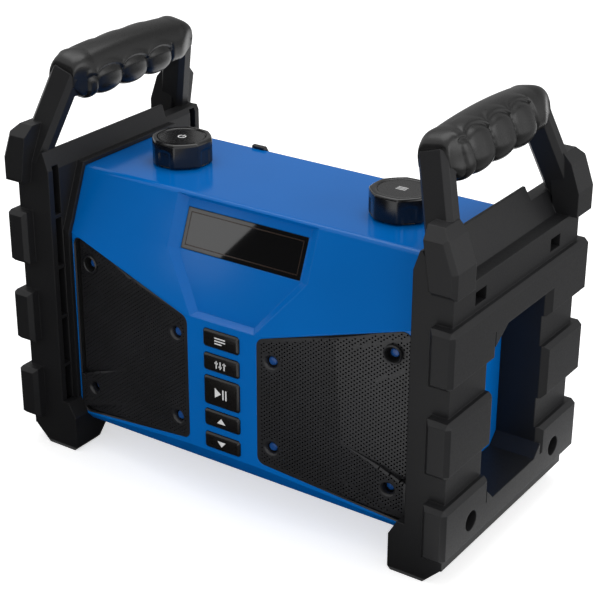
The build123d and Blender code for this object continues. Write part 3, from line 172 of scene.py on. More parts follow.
# Glass-reinforced epoxy with solder mask: board green
boardEpoxy = mouldedPlastic("epoxyBoard", {
    "dark": "#0f3d24", "light": "#14502e", "driftMm": 5, "grainMm": 1.5, "rough": 0.35,
    "roughDrift": 0.05, "bump": 0.1, "bumpMm": 0.05, "shader": {"IOR": 1.5}})
# Paper pulp, pressed and dyed: soft fibres, no gloss
conePaper = mouldedPlastic("paperPulpPressed", {
    "dark": "#101010", "light": "#1b1b1b", "driftMm": 3, "grainMm": 0.9, "rough": 0.85,
    "roughDrift": 0.05, "bump": 0.3, "bumpMm": 0.1, "shader": {"IOR": 1.45}})
# Rubber, moulded: case seal
sealRubber = mouldedPlastic("rubberMoulded", {
    "dark": "#121212", "light": "#181818", "driftMm": 8, "grainMm": 1.0, "rough": 0.7,
    "roughDrift": 0.05, "bump": 0.1, "bumpMm": 0.05, "shader": {"IOR": 1.52}})
# PVC sleeve shrunk over the cells: slightly wavy satin
packSleeve = mouldedPlastic("pvcShrinkSleeve", {
    "dark": "#26282c", "light": "#2f3236", "driftMm": 20, "grainMm": 6, "rough": 0.32,
    "roughDrift": 0.06, "bump": 0.3, "bumpMm": 0.3, "shader": {"IOR": 1.53}})
# Nylon, moulded natural: milky white
naturalNylon = mouldedPlastic("nylonNatural", {
    "dark": "#cfcabd", "light": "#dad6ca", "driftMm": 5, "grainMm": 1.5, "rough": 0.45,
    "roughDrift": 0.05, "bump": 0.05, "bumpMm": 0.03, "shader": {"IOR": 1.53}})
# Pad-printed ink: flat white with a trace of texture
printInk = mouldedPlastic("padPrintInk", {
    "dark": "#efefef", "light": "#f2f2f2", "driftMm": 2, "grainMm": 0.5, "rough": 0.5,
    "roughDrift": 0.05, "bump": 0.05, "bumpMm": 0.02, "edgeMm": 0.05, "shader": {"IOR": 1.5}})
# Lacquer border, a warm near-black line: behind the real window, laid on its face here to show
borderLacquer = mouldedPlastic("lacquerPrintedBorder", {
    "dark": "#2f241e", "light": "#33251e", "driftMm": 8, "grainMm": 2, "rough": 0.15,
    "roughDrift": 0.02, "bump": 0.01, "bumpMm": 0.02, "edgeMm": 0.05, "shader": {"IOR": 1.49}})

nodeFinish = {
    "front_shell": blueAbs, "rear_shell": blueAbs, "battery_door": blueAbs,
    "left_end_frame": framePp, "right_end_frame": framePp,
    "left_handle_grip": gripRubber, "right_handle_grip": gripRubber,
    "left_grille": grilleCoat, "right_grille": grilleCoat,
    "display_window": windowAcrylic, "display_module": windowAcrylic,
    "left_knob": knobAbs, "right_knob": knobAbs,
    "left_knob_cap": capAbs, "right_knob_cap": capAbs,
    "left_encoder_shaft": brightSteel, "right_encoder_shaft": brightSteel,
    "left_encoder": brightSteel, "right_encoder": brightSteel,
    "left_plunger": naturalNylon, "right_plunger": naturalNylon,
    "latch_pins": brightSteel, "hinge_pins": brightSteel,
    "frame_bolts": blackSteel, "case_screws": blackSteel,
    "left_latch": keyAbs, "right_latch": keyAbs,
    "button_board": boardEpoxy, "main_board": boardEpoxy,
    "left_speaker_basket": blackSteel, "right_speaker_basket": blackSteel,
    "left_speaker_cone": conePaper, "right_speaker_cone": conePaper,
    "case_seal": sealRubber, "battery_pack": packSleeve, "socket_panel": keyAbs,
}
for title in ("mode", "sound", "play", "up", "down"):
    nodeFinish[title + "_button"] = keyAbs
for name, node in nodes.items():
    node.data.materials.clear()
    node.data.materials.append(nodeFinish[name])
print("finishes on", len(nodes), "nodes")


# ---- mesh helpers
def newPiece(name, points, faces, finish, body):
    # points in millimetres; the object sits at the origin
    mesh = bpy.data.meshes.new(name)
    mesh.from_pydata([Vector(p) * mm for p in points], [], faces)
    mesh.materials.append(finish)
    mesh.validate()
    piece = bpy.data.objects.new(name, mesh)
    bpy.context.scene.collection.objects.link(piece)
    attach(piece, body)
    return piece


def tidyMesh(piece, merge=0.0005, smoothDegrees=35):
    # weld doubles, point the faces outwards and shade smooth up to an angle
    work = bmesh.new()
    work.from_mesh(piece.data)
    bmesh.ops.remove_doubles(work, verts=work.verts, dist=merge * mm)
    bmesh.ops.recalc_face_normals(work, faces=work.faces)
    limit = math.radians(smoothDegrees)
    for face in work.faces:
        face.smooth = True
    for edge in work.edges:
        edge.smooth = edge.is_manifold and edge.calc_face_angle(0) < limit
    work.to_mesh(piece.data)
    work.free()


def thicken(piece, thickness):
    modifier = piece.modifiers.new("thickness", "SOLIDIFY")
    modifier.thickness = thickness * mm
    modifier.offset = -1.0
    graph = bpy.context.evaluated_depsgraph_get()
    bpy.context.view_layer.update()
    mesh = bpy.data.meshes.new_from_object(piece.evaluated_get(graph))
    piece.modifiers.clear()
    piece.data = mesh


def mirrored(points):
    return [(-x, y, z) for x, y, z in points]


def ringFaces(base, count, rings):
    # quads between rings of count points each, the first of which starts at index base
    faces = []
    for ring in range(rings - 1):
        for n in range(count):
            a, b = base + ring * count + n, base + ring * count + (n + 1) % count
            faces.append([a, b, b + count, a + count])
    return faces


def smoothStep(low, high, value):
    t = min(max((value - low) / (high - low), 0.0), 1.0)
    return t * t * (3 - 2 * t)


# ---- speaker grilles: a perforated skin over a near-black liner that paints the shade behind the holes, with corner troughs and screw pits
grilleForm = {
    "inX": 27.0, "outX": 131.0, "frontY": -77.777, "sweep": 0.115,
    "inLowZ": 42.0, "inHighZ": 129.3, "outLowZ": 25.6, "outHighZ": 158.6, "corner": 6.0,
    "edge": 0.5, "skirt": 3.2, "skin": 1.1, "liner": 0.8, "linerGap": 0.1,
    "holeRadius": 0.62, "holeSides": 6, "column": 1.8, "pitch": 2.8, "border": 2.6, "troughBorder": 0.9,
    "pitRadius": 4.9, "pitLip": 0.6, "pitDepth": 3.2, "pitSides": 32, "pitBorder": 0.9,
    "pitRound": ((0.25, 0.35), (0.0, 1.0)), "troughReach": 0.6, "smooth": 40, "merge": 0.002,
    "cupRadius": 5.2, "cupTop": 0.9, "cupUnder": 0.1, "pegRadius": 2.7, "pegSink": (1.85, 4.45),
    "pegRound": ((0.25, -0.1), (0.0, 0.35), (-0.5, 0.6)),
    "pits": [(37.3, 115.7), (37.3, 54.7), (118.0, 139.5), (118.0, 47.8)]}
# corners of each trough; it starts level with the field between its last and first corner
troughs = {"depth": 4.4,
           "corners": [[(93.6, 139.2), (134.0, 153.1), (134.0, 133.5), (107.8, 119.8)],
                       [(86.0, 72.0), (134.0, 53.1), (134.0, 30.0), (88.2, 44.7)]]}


def roundedOutline(corners, radius, steps=6):
    # a polygon with each corner turned into an arc
    points = []
    for n, corner in enumerate(corners):
        here = Vector(corner)
        before = (Vector(corners[n - 1]) - here).normalized()
        after = (Vector(corners[(n + 1) % len(corners)]) - here).normalized()
        half = before.angle(after) / 2
        middle = here + (before + after).normalized() * radius / math.sin(half)
        first = here + before * radius / math.tan(half) - middle
        last = here + after * radius / math.tan(half) - middle
        for step in range(steps + 1):
            points.append(middle + first.lerp(last, step / steps).normalized() * radius)
    return points


def insetCorners(corners, margin):
    moved = []
    for n, corner in enumerate(corners):
        here = Vector(corner)
        before = (here - Vector(corners[n - 1])).normalized()
        after = (Vector(corners[(n + 1) % len(corners)]) - here).normalized()
        moved.append(here + (after - before) * margin / max(abs(before.cross(after)), 0.05))
    return moved


def insideCorners(point, corners, margin):
    # the corners run anticlockwise; margin keeps clear of every side
    for n, corner in enumerate(corners):
        start = Vector(corners[n - 1])
        side = (Vector(corner) - start).normalized()
        if side.cross(Vector(point) - start) < margin:
            return False
    return True


def lineDistance(point, start, end):
    start, side = Vector(start), Vector(end) - Vector(start)
    t = min(max((Vector(point) - start).dot(side) / side.length_squared, 0.0), 1.0)
    return (Vector(point) - start - side * t).length


def troughDepth(corners, x, z):
    # falls in a plane from the line between the last and first corner to the second corner
    start, end = Vector(corners[-1]), Vector(corners[0])
    side = (end - start).normalized()
    reach = side.cross(Vector(corners[1]) - start)
    return troughs["depth"] * max(side.cross(Vector((x, z)) - start) / reach, 0.0)


def circleAt(centre, radius, sides, turn=0.0):
    return [(centre[0] + radius * math.cos(2 * math.pi * n / sides + turn),
             centre[1] + radius * math.sin(2 * math.pi * n / sides + turn)) for n in range(sides)]


def behindGrille(form, places):
    # (x, z, fall behind the swept front plane) to points
    slope = math.atan(form["sweep"])
    return [(x - fall * math.sin(slope),
             form["frontY"] + form["sweep"] * (x - form["inX"]) + fall * math.cos(slope), z)
            for x, z, fall in places]


def holeCentres(form, field):
    # staggered columns that stay clear of the edge, the pits and the trough walls
    centres = []
    columns = int((form["outX"] - form["inX"]) / form["column"]) + 1
    rows = int((form["outHighZ"] - form["outLowZ"]) / form["pitch"]) + 1
    for column in range(columns):
        for row in range(rows):
            centre = (form["inX"] + column * form["column"],
                      form["outLowZ"] + (row + 0.5 * (column % 2)) * form["pitch"])
            if not insideCorners(centre, field, form["border"]):
                continue
            clearOfPits = all(
                (Vector(centre) - Vector(pit)).length
                > form["pitRadius"] + form["pitLip"] + form["pitBorder"] for pit in form["pits"])
            clearOfWalls = all(
                lineDistance(centre, corners[k], corners[k + 1]) > form["troughBorder"]
                for corners in troughs["corners"] for k in (0, 2))
            if clearOfPits and clearOfWalls:
                centres.append(centre)
    return centres


def grilleLayer(form, withHoles, sink):
    # one layer as points and faces: the flat field is cut into triangles, then pushed back
    field = [(form["inX"], form["inLowZ"]), (form["outX"], form["outLowZ"]),
             (form["outX"], form["outHighZ"]), (form["inX"], form["inHighZ"])]
    edge = roundedOutline(insetCorners(field, form["edge"]), form["corner"] - form["edge"])
    rim = roundedOutline(field, form["corner"])
    loops = [edge]
    for corners in troughs["corners"]:
        loops.append([Vector((min(x, form["outX"] - form["edge"]), z)) for x, z in corners])
    pitStart = len(loops)
    loops += [circleAt(pit, form["pitRadius"] + form["pitLip"], form["pitSides"])
              for pit in form["pits"]]
    if withHoles:
        loops += [circleAt(centre, form["holeRadius"], form["holeSides"])
                  for centre in holeCentres(form, field)]
    points, faces = [], []
    for loop in loops:
        faces.append(list(range(len(points), len(points) + len(loop))))
        points += [Vector(p) for p in loop]
    flat, _, triangles, _, _, fromFaces = geometry.delaunay_2d_cdt(points, [], faces, 1, 1e-5)
    solid, used, places = [], {}, []
    for triangle, sources in zip(triangles, fromFaces):
        if any(source >= pitStart for source in sources):
            continue
        region = max([0] + [source for source in sources if 1 <= source < pitStart])
        corners = []
        for index in triangle:
            if (index, region) not in used:
                used[index, region] = len(places)
                x, z = flat[index]
                fall = troughDepth(troughs["corners"][region - 1], x, z) if region else 0.0
                places.append((x, z, fall + sink))
            corners.append(used[index, region])
        solid.append(corners)
    # walls where a trough steps down from the field
    borders = {}
    for corners in solid:
        for n in range(3):
            pair = (corners[n - 1], corners[n])
            key = frozenset((round(places[i][0], 4), round(places[i][1], 4)) for i in pair)
            borders.setdefault(key, []).append(pair)
    for pairs in borders.values():
        if len(pairs) == 2 and set(pairs[0]) != set(pairs[1]):
            (a, b), (c, d) = pairs
            solid.append([b, a, d, c])
    # chamfered edge and skirt
    start = len(places)
    for loop, fall in ((edge, 0.0), (rim, form["edge"]), (rim, form["skirt"])):
        for x, z in loop:
            inTrough = 0.0
            for corners in troughs["corners"]:
                nearX = min(x, form["outX"] - form["troughReach"])
                if insideCorners((nearX, z), corners, 0.0):
                    inTrough = troughDepth(corners, x, z)
            places.append((x, z, fall + inTrough + sink))
    solid += ringFaces(start, len(rim), 3)
    # pit walls
    wall = ((form["pitLip"], 0.0), *form["pitRound"], (0.0, form["pitDepth"]))
    for pit in form["pits"]:
        inside = [c for c in troughs["corners"] if insideCorners(pit, c, 0.0)]
        solid += ringFaces(len(places), form["pitSides"], len(wall))
        for wider, fall in wall:
            for x, z in circleAt(pit, form["pitRadius"] + wider, form["pitSides"]):
                inTrough = troughDepth(inside[0], x, z) if inside else 0.0
                places.append((x, z, fall + inTrough + sink))
    return behindGrille(form, places), solid


def solidLayer(name, layer, thickness, finish, flip):
    points, faces = layer
    piece = newPiece(name, mirrored(points) if flip else points, faces, finish,
                     "case")
    tidyMesh(piece, grilleForm["merge"], grilleForm["smooth"])
    work = bmesh.new()
    work.from_mesh(piece.data)
    # the front has to face -Y before the layer gets its thickness
    largest = max(work.faces, key=lambda face: face.calc_area())
    if largest.normal.y > 0:
        bmesh.ops.reverse_faces(work, faces=work.faces)
    work.to_mesh(piece.data)
    work.free()
    thicken(piece, thickness)
    return piece


def pitCups(form):
    # a near-black cup in each pit, painted shade for the pit's depths, and the blue disc at its bottom,
    # as one mesh with two finishes
    places, faces, blue = [], [], []
    sides = form["pitSides"]
    for number, pit in enumerate(form["pits"]):
        sink = form["pegSink"][number // 2]
        rings = [(form["cupRadius"], form["cupTop"] + (sink - form["pegSink"][0])),
                 (form["cupRadius"], sink + form["cupUnder"])]
        rings += [(form["pegRadius"] + wider, sink - rise) for wider, rise in form["pegRound"]]
        base = len(places)
        for radius, fall in rings:
            places += [(x, z, fall) for x, z in circleAt(pit, radius, sides)]
        faces += ringFaces(base, sides, len(rings))
        faces.append(list(range(len(places) - sides, len(places))))
        # the first two bands are the cup's wall and floor
        blue += [False] * 2 * sides + [True] * ((len(rings) - 3) * sides + 1)
    return behindGrille(form, places), faces, blue


skinLayer = grilleLayer(grilleForm, True, 0.0)
linerLayer = grilleLayer(grilleForm, False, grilleForm["skin"] + grilleForm["linerGap"])
for side, flip in (("left", True), ("right", False)):
    skin = solidLayer(side + "GrilleSkin", skinLayer, grilleForm["skin"], grilleCoat, flip)
    # the liner's near-black is painted shade seen through the holes
    solidLayer(side + "GrilleLiner", linerLayer, grilleForm["liner"], paintedShadeBlack, flip)
    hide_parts(side + "_grille")
    points, faces, blue = pitCups(grilleForm)
    # the cups' near-black walls and floors are painted shade in the pits
    cups = newPiece(side + "GrilleScrewCups", mirrored(points) if flip else points, faces,
                    paintedShadeBlack, "case")
    cups.data.materials.append(screwPaint)
    for face, isBlue in zip(cups.data.polygons, blue):
        face.material_index = int(isBlue)
    tidyMesh(cups, grilleForm["merge"], grilleForm["smooth"])
print("grilles punched:", len(skinLayer[1]), "faces each")

# ---- handle grips: a smooth palm saddle over slanting finger pads
# s runs along the grip from its front end, u up across it, and pairs are where a blend starts and ends
gripForm = {
    "centre": (138.41, 260.66), "lean": 10.0, "half": 62.0, "width": 15.0, "endWidth": 10.4,
    "taper": 18.0, "top": 19.2, "crown": 2.0, "endRound": 18.0, "endTop": 10.4, "belly": 9.9,
    "bellyStart": -3.0, "bellyTaper": 13.0, "roundPower": 2.35, "squarePower": 2.2,
    "offsetTaper": (0.5, 5.0), "leastReach": 3.0, "step": 0.7, "around": 150, "smooth": 55,
    "merge": 0.01}
padForm = {
    "pitch": 26.0, "middle": -15.0, "slant": 0.16, "slantCentre": 14, "rise": 5.2,
    "topShare": 0.62, "lowShare": 0.45, "lowBlend": (4, -12), "flatShare": 0.35, "groove": 1.6,
    "outerArch": 17.6, "innerArch": 10.5, "archDrop": 6.0, "archWall": 1.4,
    "archSoft": (0.6, 5.5), "lip": 0.6, "lipBlend": (3.6, 0.4)}
# the narrow ring and the bulge ahead of the pads, and the groove behind them
ringForm = {"start": -48.5, "lower": 2.5, "least": 0.62, "crown": 0.25, "bulge": 2.0,
            "bulgeLength": 0.6, "bulgeBlend": (2, -10), "bulgeEnd": 10,
            "grooveLength": 2.5, "grooveWall": 5}


def gripOffset(form, s, u, outward):
    # how far the surface stands above (+) or below (-) the plain section
    pad, ring = padForm, ringForm
    t = s + pad["slant"] * (u + pad["slantCentre"])
    first = pad["middle"] - pad["pitch"]
    last = pad["middle"] + 2 * pad["pitch"]
    arch = pad["outerArch"] if outward > 0 else pad["innerArch"]
    if first <= t <= last:
        across = ((t - first) / pad["pitch"]) % 1.0 * 2 - 1
    elif ring["start"] <= t < first:
        across = (t - ring["start"]) / (first - ring["start"]) * 2 - 1
    elif t < ring["start"]:
        low = ring["start"] - pad["pitch"] * ring["bulgeLength"]
        across = min(max((t - low) / (ring["start"] - low) * 2 - 1, -1.0), 1.0)
        belly = math.sqrt(max(1 - across * across, 0.0)) * smoothStep(*ring["bulgeBlend"], u)
        return ring["bulge"] * belly * smoothStep(-form["half"], -form["half"] + ring["bulgeEnd"], s)
    else:
        end = smoothStep(last, last + ring["grooveLength"], t)
        return -pad["groove"] * (1 - end) * smoothStep(arch, arch - ring["grooveWall"], u)
    bulge = math.sqrt(max(1 - across * across, 0.0))
    if t < first:
        arch, bulge = arch - ring["lower"], ring["least"] + ring["crown"] * bulge
    archLine = arch - pad["archDrop"] * (1 - bulge)
    inPad = smoothStep(archLine, archLine - pad["archWall"], u)
    lowRise = pad["rise"] * pad["lowShare"] * smoothStep(*pad["lowBlend"], u)
    rise = (pad["rise"] * pad["topShare"] + lowRise) * bulge
    softTop = smoothStep(archLine - pad["archSoft"][0], archLine - pad["archSoft"][1], u)
    lipRise = pad["lip"] * smoothStep(
        archLine + pad["lipBlend"][0], archLine + pad["lipBlend"][1], u) * (1 - inPad)
    share = pad["flatShare"] + (1 - pad["flatShare"]) * softTop
    return inPad * (rise * share - pad["groove"]) + lipRise


def gripPoints(form):
    stations = int(2 * form["half"] / form["step"])
    rings = []
    lean = math.radians(form["lean"])
    for n in range(stations + 1):
        s = -form["half"] + 2 * form["half"] * n / stations
        fromEnd = form["half"] - abs(s)
        inHand = smoothStep(0, form["taper"], fromEnd)
        width = form["endWidth"] + (form["width"] - form["endWidth"]) * inHand
        if fromEnd > form["endRound"]:
            share = s / (form["half"] - form["endRound"])
            top = form["top"] + form["crown"] * (1 - share * share)
        else:
            curve = math.sqrt(1 - (1 - fromEnd / form["endRound"]) ** 2)
            top = form["endTop"] + (form["top"] - form["endTop"]) * curve
        bottom = form["belly"] * smoothStep(form["bellyStart"], form["bellyTaper"], fromEnd)
        # squarer where it meets the leg, rounder in the hand
        power = 2 / (form["roundPower"] + form["squarePower"] * (1 - inHand))
        ring = []
        for k in range(form["around"]):
            angle = 2 * math.pi * k / form["around"]
            out = width * math.copysign(abs(math.sin(angle)) ** power, math.sin(angle))
            reach = top if math.cos(angle) >= 0 else bottom
            up = math.copysign(abs(math.cos(angle)) ** power, math.cos(angle)) * reach
            rise = gripOffset(form, s, up, out) * smoothStep(*form["offsetTaper"], fromEnd)
            normal = Vector((out / width ** 2, up / max(reach, form["leastReach"]) ** 2))
            normal.normalize()
            out, up = out + normal.x * rise, up + normal.y * rise
            ring.append((form["centre"][0] + out * math.cos(lean) - up * math.sin(lean), s,
                         form["centre"][1] + out * math.sin(lean) + up * math.cos(lean)))
        rings.append(ring)
    return rings


def stackRings(rings):
    # rings of equal length become a closed skin
    count = len(rings[0])
    faces = [list(range(count))[::-1]] + ringFaces(0, count, len(rings))
    faces.append(list(range((len(rings) - 1) * count, len(rings) * count)))
    return [point for ring in rings for point in ring], faces


gripSurface, gripFaces = stackRings(gripPoints(gripForm))
for side, flip in (("left", True), ("right", False)):
    grip = newPiece(side + "HandleGrip", mirrored(gripSurface) if flip else gripSurface,
                    gripFaces, gripRubber, "case")
    tidyMesh(grip, gripForm["merge"], gripForm["smooth"])
    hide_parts(side + "_handle_grip")
print("grips sculpted")

# ---- push buttons: rounded caps with raised marks
# the node's box holds the hidden flange; the cap is as large as its front. profile: inset, fall
keyForm = {"corner": 1.9, "cornerSteps": 6, "flange": 1.6, "smooth": 50,
           "profile": ((0, 3.0), (0, 1.15), (0.12, 1.0), (1.05, 0.07), (1.2, 0.0))}
markForm = {"rise": 0.12, "sink": 0.05, "merge": 0.001, "smooth": 30}


def arcPoints(centre, radius, start, end, steps):
    # angles in degrees
    turns = [math.radians(start + (end - start) * n / steps) for n in range(steps + 1)]
    return [(centre[0] + radius * math.cos(t), centre[1] + radius * math.sin(t)) for t in turns]


def bar(left, low, right, high):
    return [(left, low), (right, low), (right, high), (left, high)]


# outlines in millimetres from the middle of the key
keyMarks = {
    "mode": [bar(-4.2, 1.5, 4.2, 2.3), bar(-4.2, -0.4, 4.2, 0.4), bar(-4.2, -2.3, 1.4, -1.5)],
    "sound": [bar(-3.5, -2.6, -2.7, 2.6), bar(-4.3, 0.5, -1.9, 1.5), bar(-0.4, -2.6, 0.4, 2.6),
              bar(-1.2, -1.5, 1.2, -0.5), bar(2.7, -2.6, 3.5, 2.6), bar(1.9, 0.9, 4.3, 1.9)],
    "play": [[(-4.6, -3.5), (0.2, 0.0), (-4.6, 3.5)], bar(1.3, -3.5, 2.3, 3.5),
             bar(3.6, -3.5, 4.6, 3.5)],
    "up": [[(-3.3, -1.7), (3.3, -1.7), (0.0, 2.1)]],
    "down": [[(-3.3, 1.7), (0.0, -2.1), (3.3, 1.7)]],
}


def raisedMark(name, outlines, place, finish, body):
    # place turns (across, up, height above the surface) into a point in millimetres
    points, faces = [], []
    for outline in outlines:
        base = len(points)
        count = len(outline)
        for height in (-markForm["sink"], markForm["rise"]):
            points += [place(x, y, height) for x, y in outline]
        faces.append([base + n for n in range(count)][::-1])
        faces.append([base + count + n for n in range(count)])
        faces += ringFaces(base, count, 2)
    mark = newPiece(name, points, faces, finish, body)
    tidyMesh(mark, markForm["merge"], markForm["smooth"])


for title, outlines in keyMarks.items():
    low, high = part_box(title + "_button")
    front = low.y / mm
    middleZ = (low.z + high.z) / 2 / mm
    rings = []
    for inset, fall in keyForm["profile"]:
        margin = keyForm["flange"] + inset
        face = bar(low.x / mm + margin, low.z / mm + margin,
                   high.x / mm - margin, high.z / mm - margin)
        outline = roundedOutline(face, keyForm["corner"] - 0.5 * inset, keyForm["cornerSteps"])
        rings.append([(x, front + fall, z) for x, z in outline])
    points, faces = stackRings(rings)
    cap = newPiece(title + "KeyCap", points, faces, keyAbs, title + "_key")
    tidyMesh(cap, markForm["merge"], keyForm["smooth"])
    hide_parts(title + "_button")
    raisedMark(title + "KeyMark", outlines,
               lambda x, y, height: (x, front - height, middleZ + y),
               printInk, title + "_key")
print("keys capped and marked")

# ---- knobs: eight bulging sides, every other one with a sunken finger panel
# foot: inset and height of the first turn; seat: radius and fall of the rings round the cap
knobForm = {"sides": 8, "corner": 20.6, "middle": 19.75, "cornerPower": 2.2, "perSide": 20,
            "panelWide": 0.62, "panelDeep": 0.75, "panelHigh": 0.78, "panelArch": 0.16,
            "panelEdge": 0.84, "panelWall": 0.07, "innerRadius": 12, "footInset": 0.5,
            "footStep": 0.15, "footHeight": 0.3, "bevel": 1.7, "bevelSteps": 4,
            "seat": ((16.3, 0.0), (15.6, 0.25), (15.3, 0.7)), "levels": 26, "smooth": 40}
noPanel = 2.0  # a level above every panel


def knobRadius(form, turn):
    # turn counts from a corner
    share = (turn / (2 * math.pi / form["sides"])) % 1.0 * 2 - 1
    return form["middle"] + (form["corner"] - form["middle"]) * abs(share) ** form["cornerPower"]


def panelDepth(form, turn, level):
    side = turn / (2 * math.pi / form["sides"])
    if int(math.floor(side)) % 2:
        return 0.0
    across = abs(side % 1.0 * 2 - 1) / form["panelWide"]
    if across >= 1.0:
        return 0.0
    arch = form["panelHigh"] - form["panelArch"] * (1 - math.sqrt(1 - across ** 2))
    edge = smoothStep(1.0, form["panelEdge"], across)
    return form["panelDeep"] * edge * smoothStep(arch, arch - form["panelWall"], level)


def knobRing(form, centre, cornerTurn, inset, z, level):
    ring = []
    count = form["sides"] * form["perSide"]
    for n in range(count):
        turn = 2 * math.pi * n / count
        radius = knobRadius(form, turn) - inset - panelDepth(form, turn, level)
        ring.append((centre[0] + radius * math.cos(turn + cornerTurn),
                     centre[1] + radius * math.sin(turn + cornerTurn), z))
    return ring


for side in ("left", "right"):
    low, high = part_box(side + "_knob")
    low, high = low / mm, high / mm
    centre = ((low.x + high.x) / 2, (low.y + high.y) / 2)
    corners = [Vector(v.co) / mm - Vector((centre[0], centre[1], 0))
               for v in nodes[side + "_knob"].data.vertices]
    farthest = max(corners, key=lambda v: v.x ** 2 + v.y ** 2)
    cornerTurn = math.atan2(farthest.y, farthest.x)
    count = knobForm["sides"] * knobForm["perSide"]
    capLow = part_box(side + "_knob_cap")[0].z / mm
    about = (knobForm, centre, cornerTurn)
    bevel = knobForm["bevel"]
    foot = low.z + knobForm["footHeight"]
    sideTop = high.z - bevel
    rings = [[(x, y, low.z) for x, y in circleAt(centre, knobForm["innerRadius"], count, cornerTurn)],
             knobRing(*about, knobForm["footInset"], low.z, noPanel)]
    for step in range(knobForm["levels"] + 1):
        level = step / knobForm["levels"]
        inset = 0.0 if step else knobForm["footStep"]
        rings.append(knobRing(*about, inset, foot + (sideTop - foot) * level, level))
    for step in range(1, knobForm["bevelSteps"] + 1):
        angle = step / knobForm["bevelSteps"] * math.pi / 2
        rings.append(knobRing(*about, bevel * (1 - math.cos(angle)),
                              sideTop + bevel * math.sin(angle), noPanel))
    seat = [(radius, high.z - fall) for radius, fall in knobForm["seat"]]
    for radius, z in seat + [(seat[-1][0], capLow)]:
        rings.append([(x, y, z) for x, y in circleAt(centre, radius, count, cornerTurn)])
    points, faces = stackRings(rings)
    knob = newPiece(side + "KnobBody", points, faces, knobAbs, side + "_dial")
    tidyMesh(knob, markForm["merge"], knobForm["smooth"])
    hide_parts(side + "_knob")
    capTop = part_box(side + "_knob_cap")[1].z / mm
    if side == "left":
        # a broken ring with a bar: on and off
        ringOut = arcPoints((0, 0), 2.9, 125, 415, 28)
        ringIn = arcPoints((0, 0), 2.1, 415, 125, 28)
        outlines = [ringOut + ringIn, bar(-0.4, 0.4, 0.4, 3.4)]
    else:
        outlines = [bar(-3.4, 1.6, 3.4, 2.3), bar(-3.4, -0.35, 3.4, 0.35),
                    bar(-3.4, -2.3, 3.4, -1.6)]
    raisedMark(side + "CapMark", outlines,
               lambda x, y, height: (centre[0] + x, centre[1] + y, capTop + height),
               printInk, side + "_dial")
print("knobs turned")

# ---- display: a printed border line under the gloss
# facetLow and facetHigh: (y, z) at the foot and head of the facet that carries the window
displayForm = {"inset": 2.4, "line": 0.7, "rise": 0.04, "faceDepth": 0.05,
               "facetLow": (-63.2, 167.4), "facetHigh": (-49.5, 201.5)}
windowNode = nodes["display_window"]
facetUp = (Vector((0, *displayForm["facetHigh"]))
           - Vector((0, *displayForm["facetLow"]))).normalized()
facetOut = Vector((0, -facetUp.z, facetUp.y))
corners = [Vector(v.co) / mm for v in windowNode.data.vertices]
frontLevel = max(c.dot(facetOut) for c in corners)
frontCorners = [c for c in corners if c.dot(facetOut) > frontLevel - displayForm["faceDepth"]]
leftX, rightX = min(c.x for c in frontCorners), max(c.x for c in frontCorners)
lowUp = min(c.dot(facetUp) for c in frontCorners)
highUp = max(c.dot(facetUp) for c in frontCorners)


def onWindow(x, up, height):
    return Vector((x, 0, 0)) + facetUp * up + facetOut * (frontLevel + height)


inset, line = displayForm["inset"], displayForm["line"]
left, low, right, high = leftX + inset, lowUp + inset, rightX - inset, highUp - inset
outlines = [bar(left, low, right, low + line), bar(left, high - line, right, high),
            bar(left, low + line, left + line, high - line),
            bar(right - line, low + line, right, high - line)]
raisedMark("displayBorder", outlines,
           lambda x, y, height: onWindow(x, y, min(height, displayForm["rise"])),
           borderLacquer, "case")
print("display bordered")

# ---- camera
view = {"place": (0.5555, -0.8085, 0.5706), "azimuth": 34.193, "down": 24.711, "roll": 0.224,
        "lens": 97.373, "sensor": 36.0}
camera = bpy.data.objects.new("camera", bpy.data.cameras.new("camera"))
bpy.context.scene.collection.objects.link(camera)
camera.data.lens = view["lens"]
camera.data.sensor_width = view["sensor"]
camera.matrix_world = (
    Matrix.Translation(view["place"])
    @ Matrix.Rotation(math.radians(view["azimuth"]), 4, "Z")
    @ Matrix.Rotation(math.radians(90 - view["down"]), 4, "X")
    @ Matrix.Rotation(math.radians(view["roll"]), 4, "Z"))
bpy.context.scene.camera = camera
bpy.context.scene.view_settings.view_transform = "Standard"
print("camera placed")

# ---- studio
studio = {"ambient": 0.6, "floor": "#f4f4f4", "floorRough": 0.9, "floorGlow": 0.6,
          "floorHalf": 6, "sidePower": 7, "topPower": 8.5, "flag": "#202020"}
world = bpy.data.worlds.new("studio")
bpy.context.scene.world = world
world.use_nodes = True
background = world.node_tree.nodes["Background"]


def backgroundRays(owner):
    # 1 where the background itself is seen: directly, in gloss or through glass
    path = addNode(owner, "ShaderNodeLightPath")
    direct = addNode(owner, "ShaderNodeMath", {"operation": "MAXIMUM"},
                     {0: (path, "Is Camera Ray"), 1: (path, "Is Glossy Ray")})
    return addNode(owner, "ShaderNodeMath", {"operation": "MAXIMUM"},
                   {0: (direct, "Value"), 1: (path, "Is Transmission Ray")})


shown = backgroundRays(world)
level = addNode(world, "ShaderNodeMapRange",
                {"To Min": studio["ambient"], "To Max": 1.0}, {"Value": (shown, "Value")})
joinNodes(world, level, "Result", background, "Strength")
background.inputs["Color"].default_value = (1, 1, 1, 1)


def addLamp(name, place, aim, size, power):
    lamp = bpy.data.lights.new(name, "AREA")
    lamp.shape = "RECTANGLE"
    lamp.size, lamp.size_y = size
    lamp.energy = power
    holder = bpy.data.objects.new(name, lamp)
    bpy.context.scene.collection.objects.link(holder)
    holder.location = place
    holder.rotation_euler = (Vector(aim) - Vector(place)).to_track_quat("-Z", "Y").to_euler()


addLamp("sideSoftbox", (1.5, 0.1, 0.75), (0, 0, 0.12), (1.2, 1.0),
        studio["sidePower"])
addLamp("topSoftbox", (-0.2, 0.3, 1.6), (0, 0, 0.15), (1.4, 1.0),
        studio["topPower"])


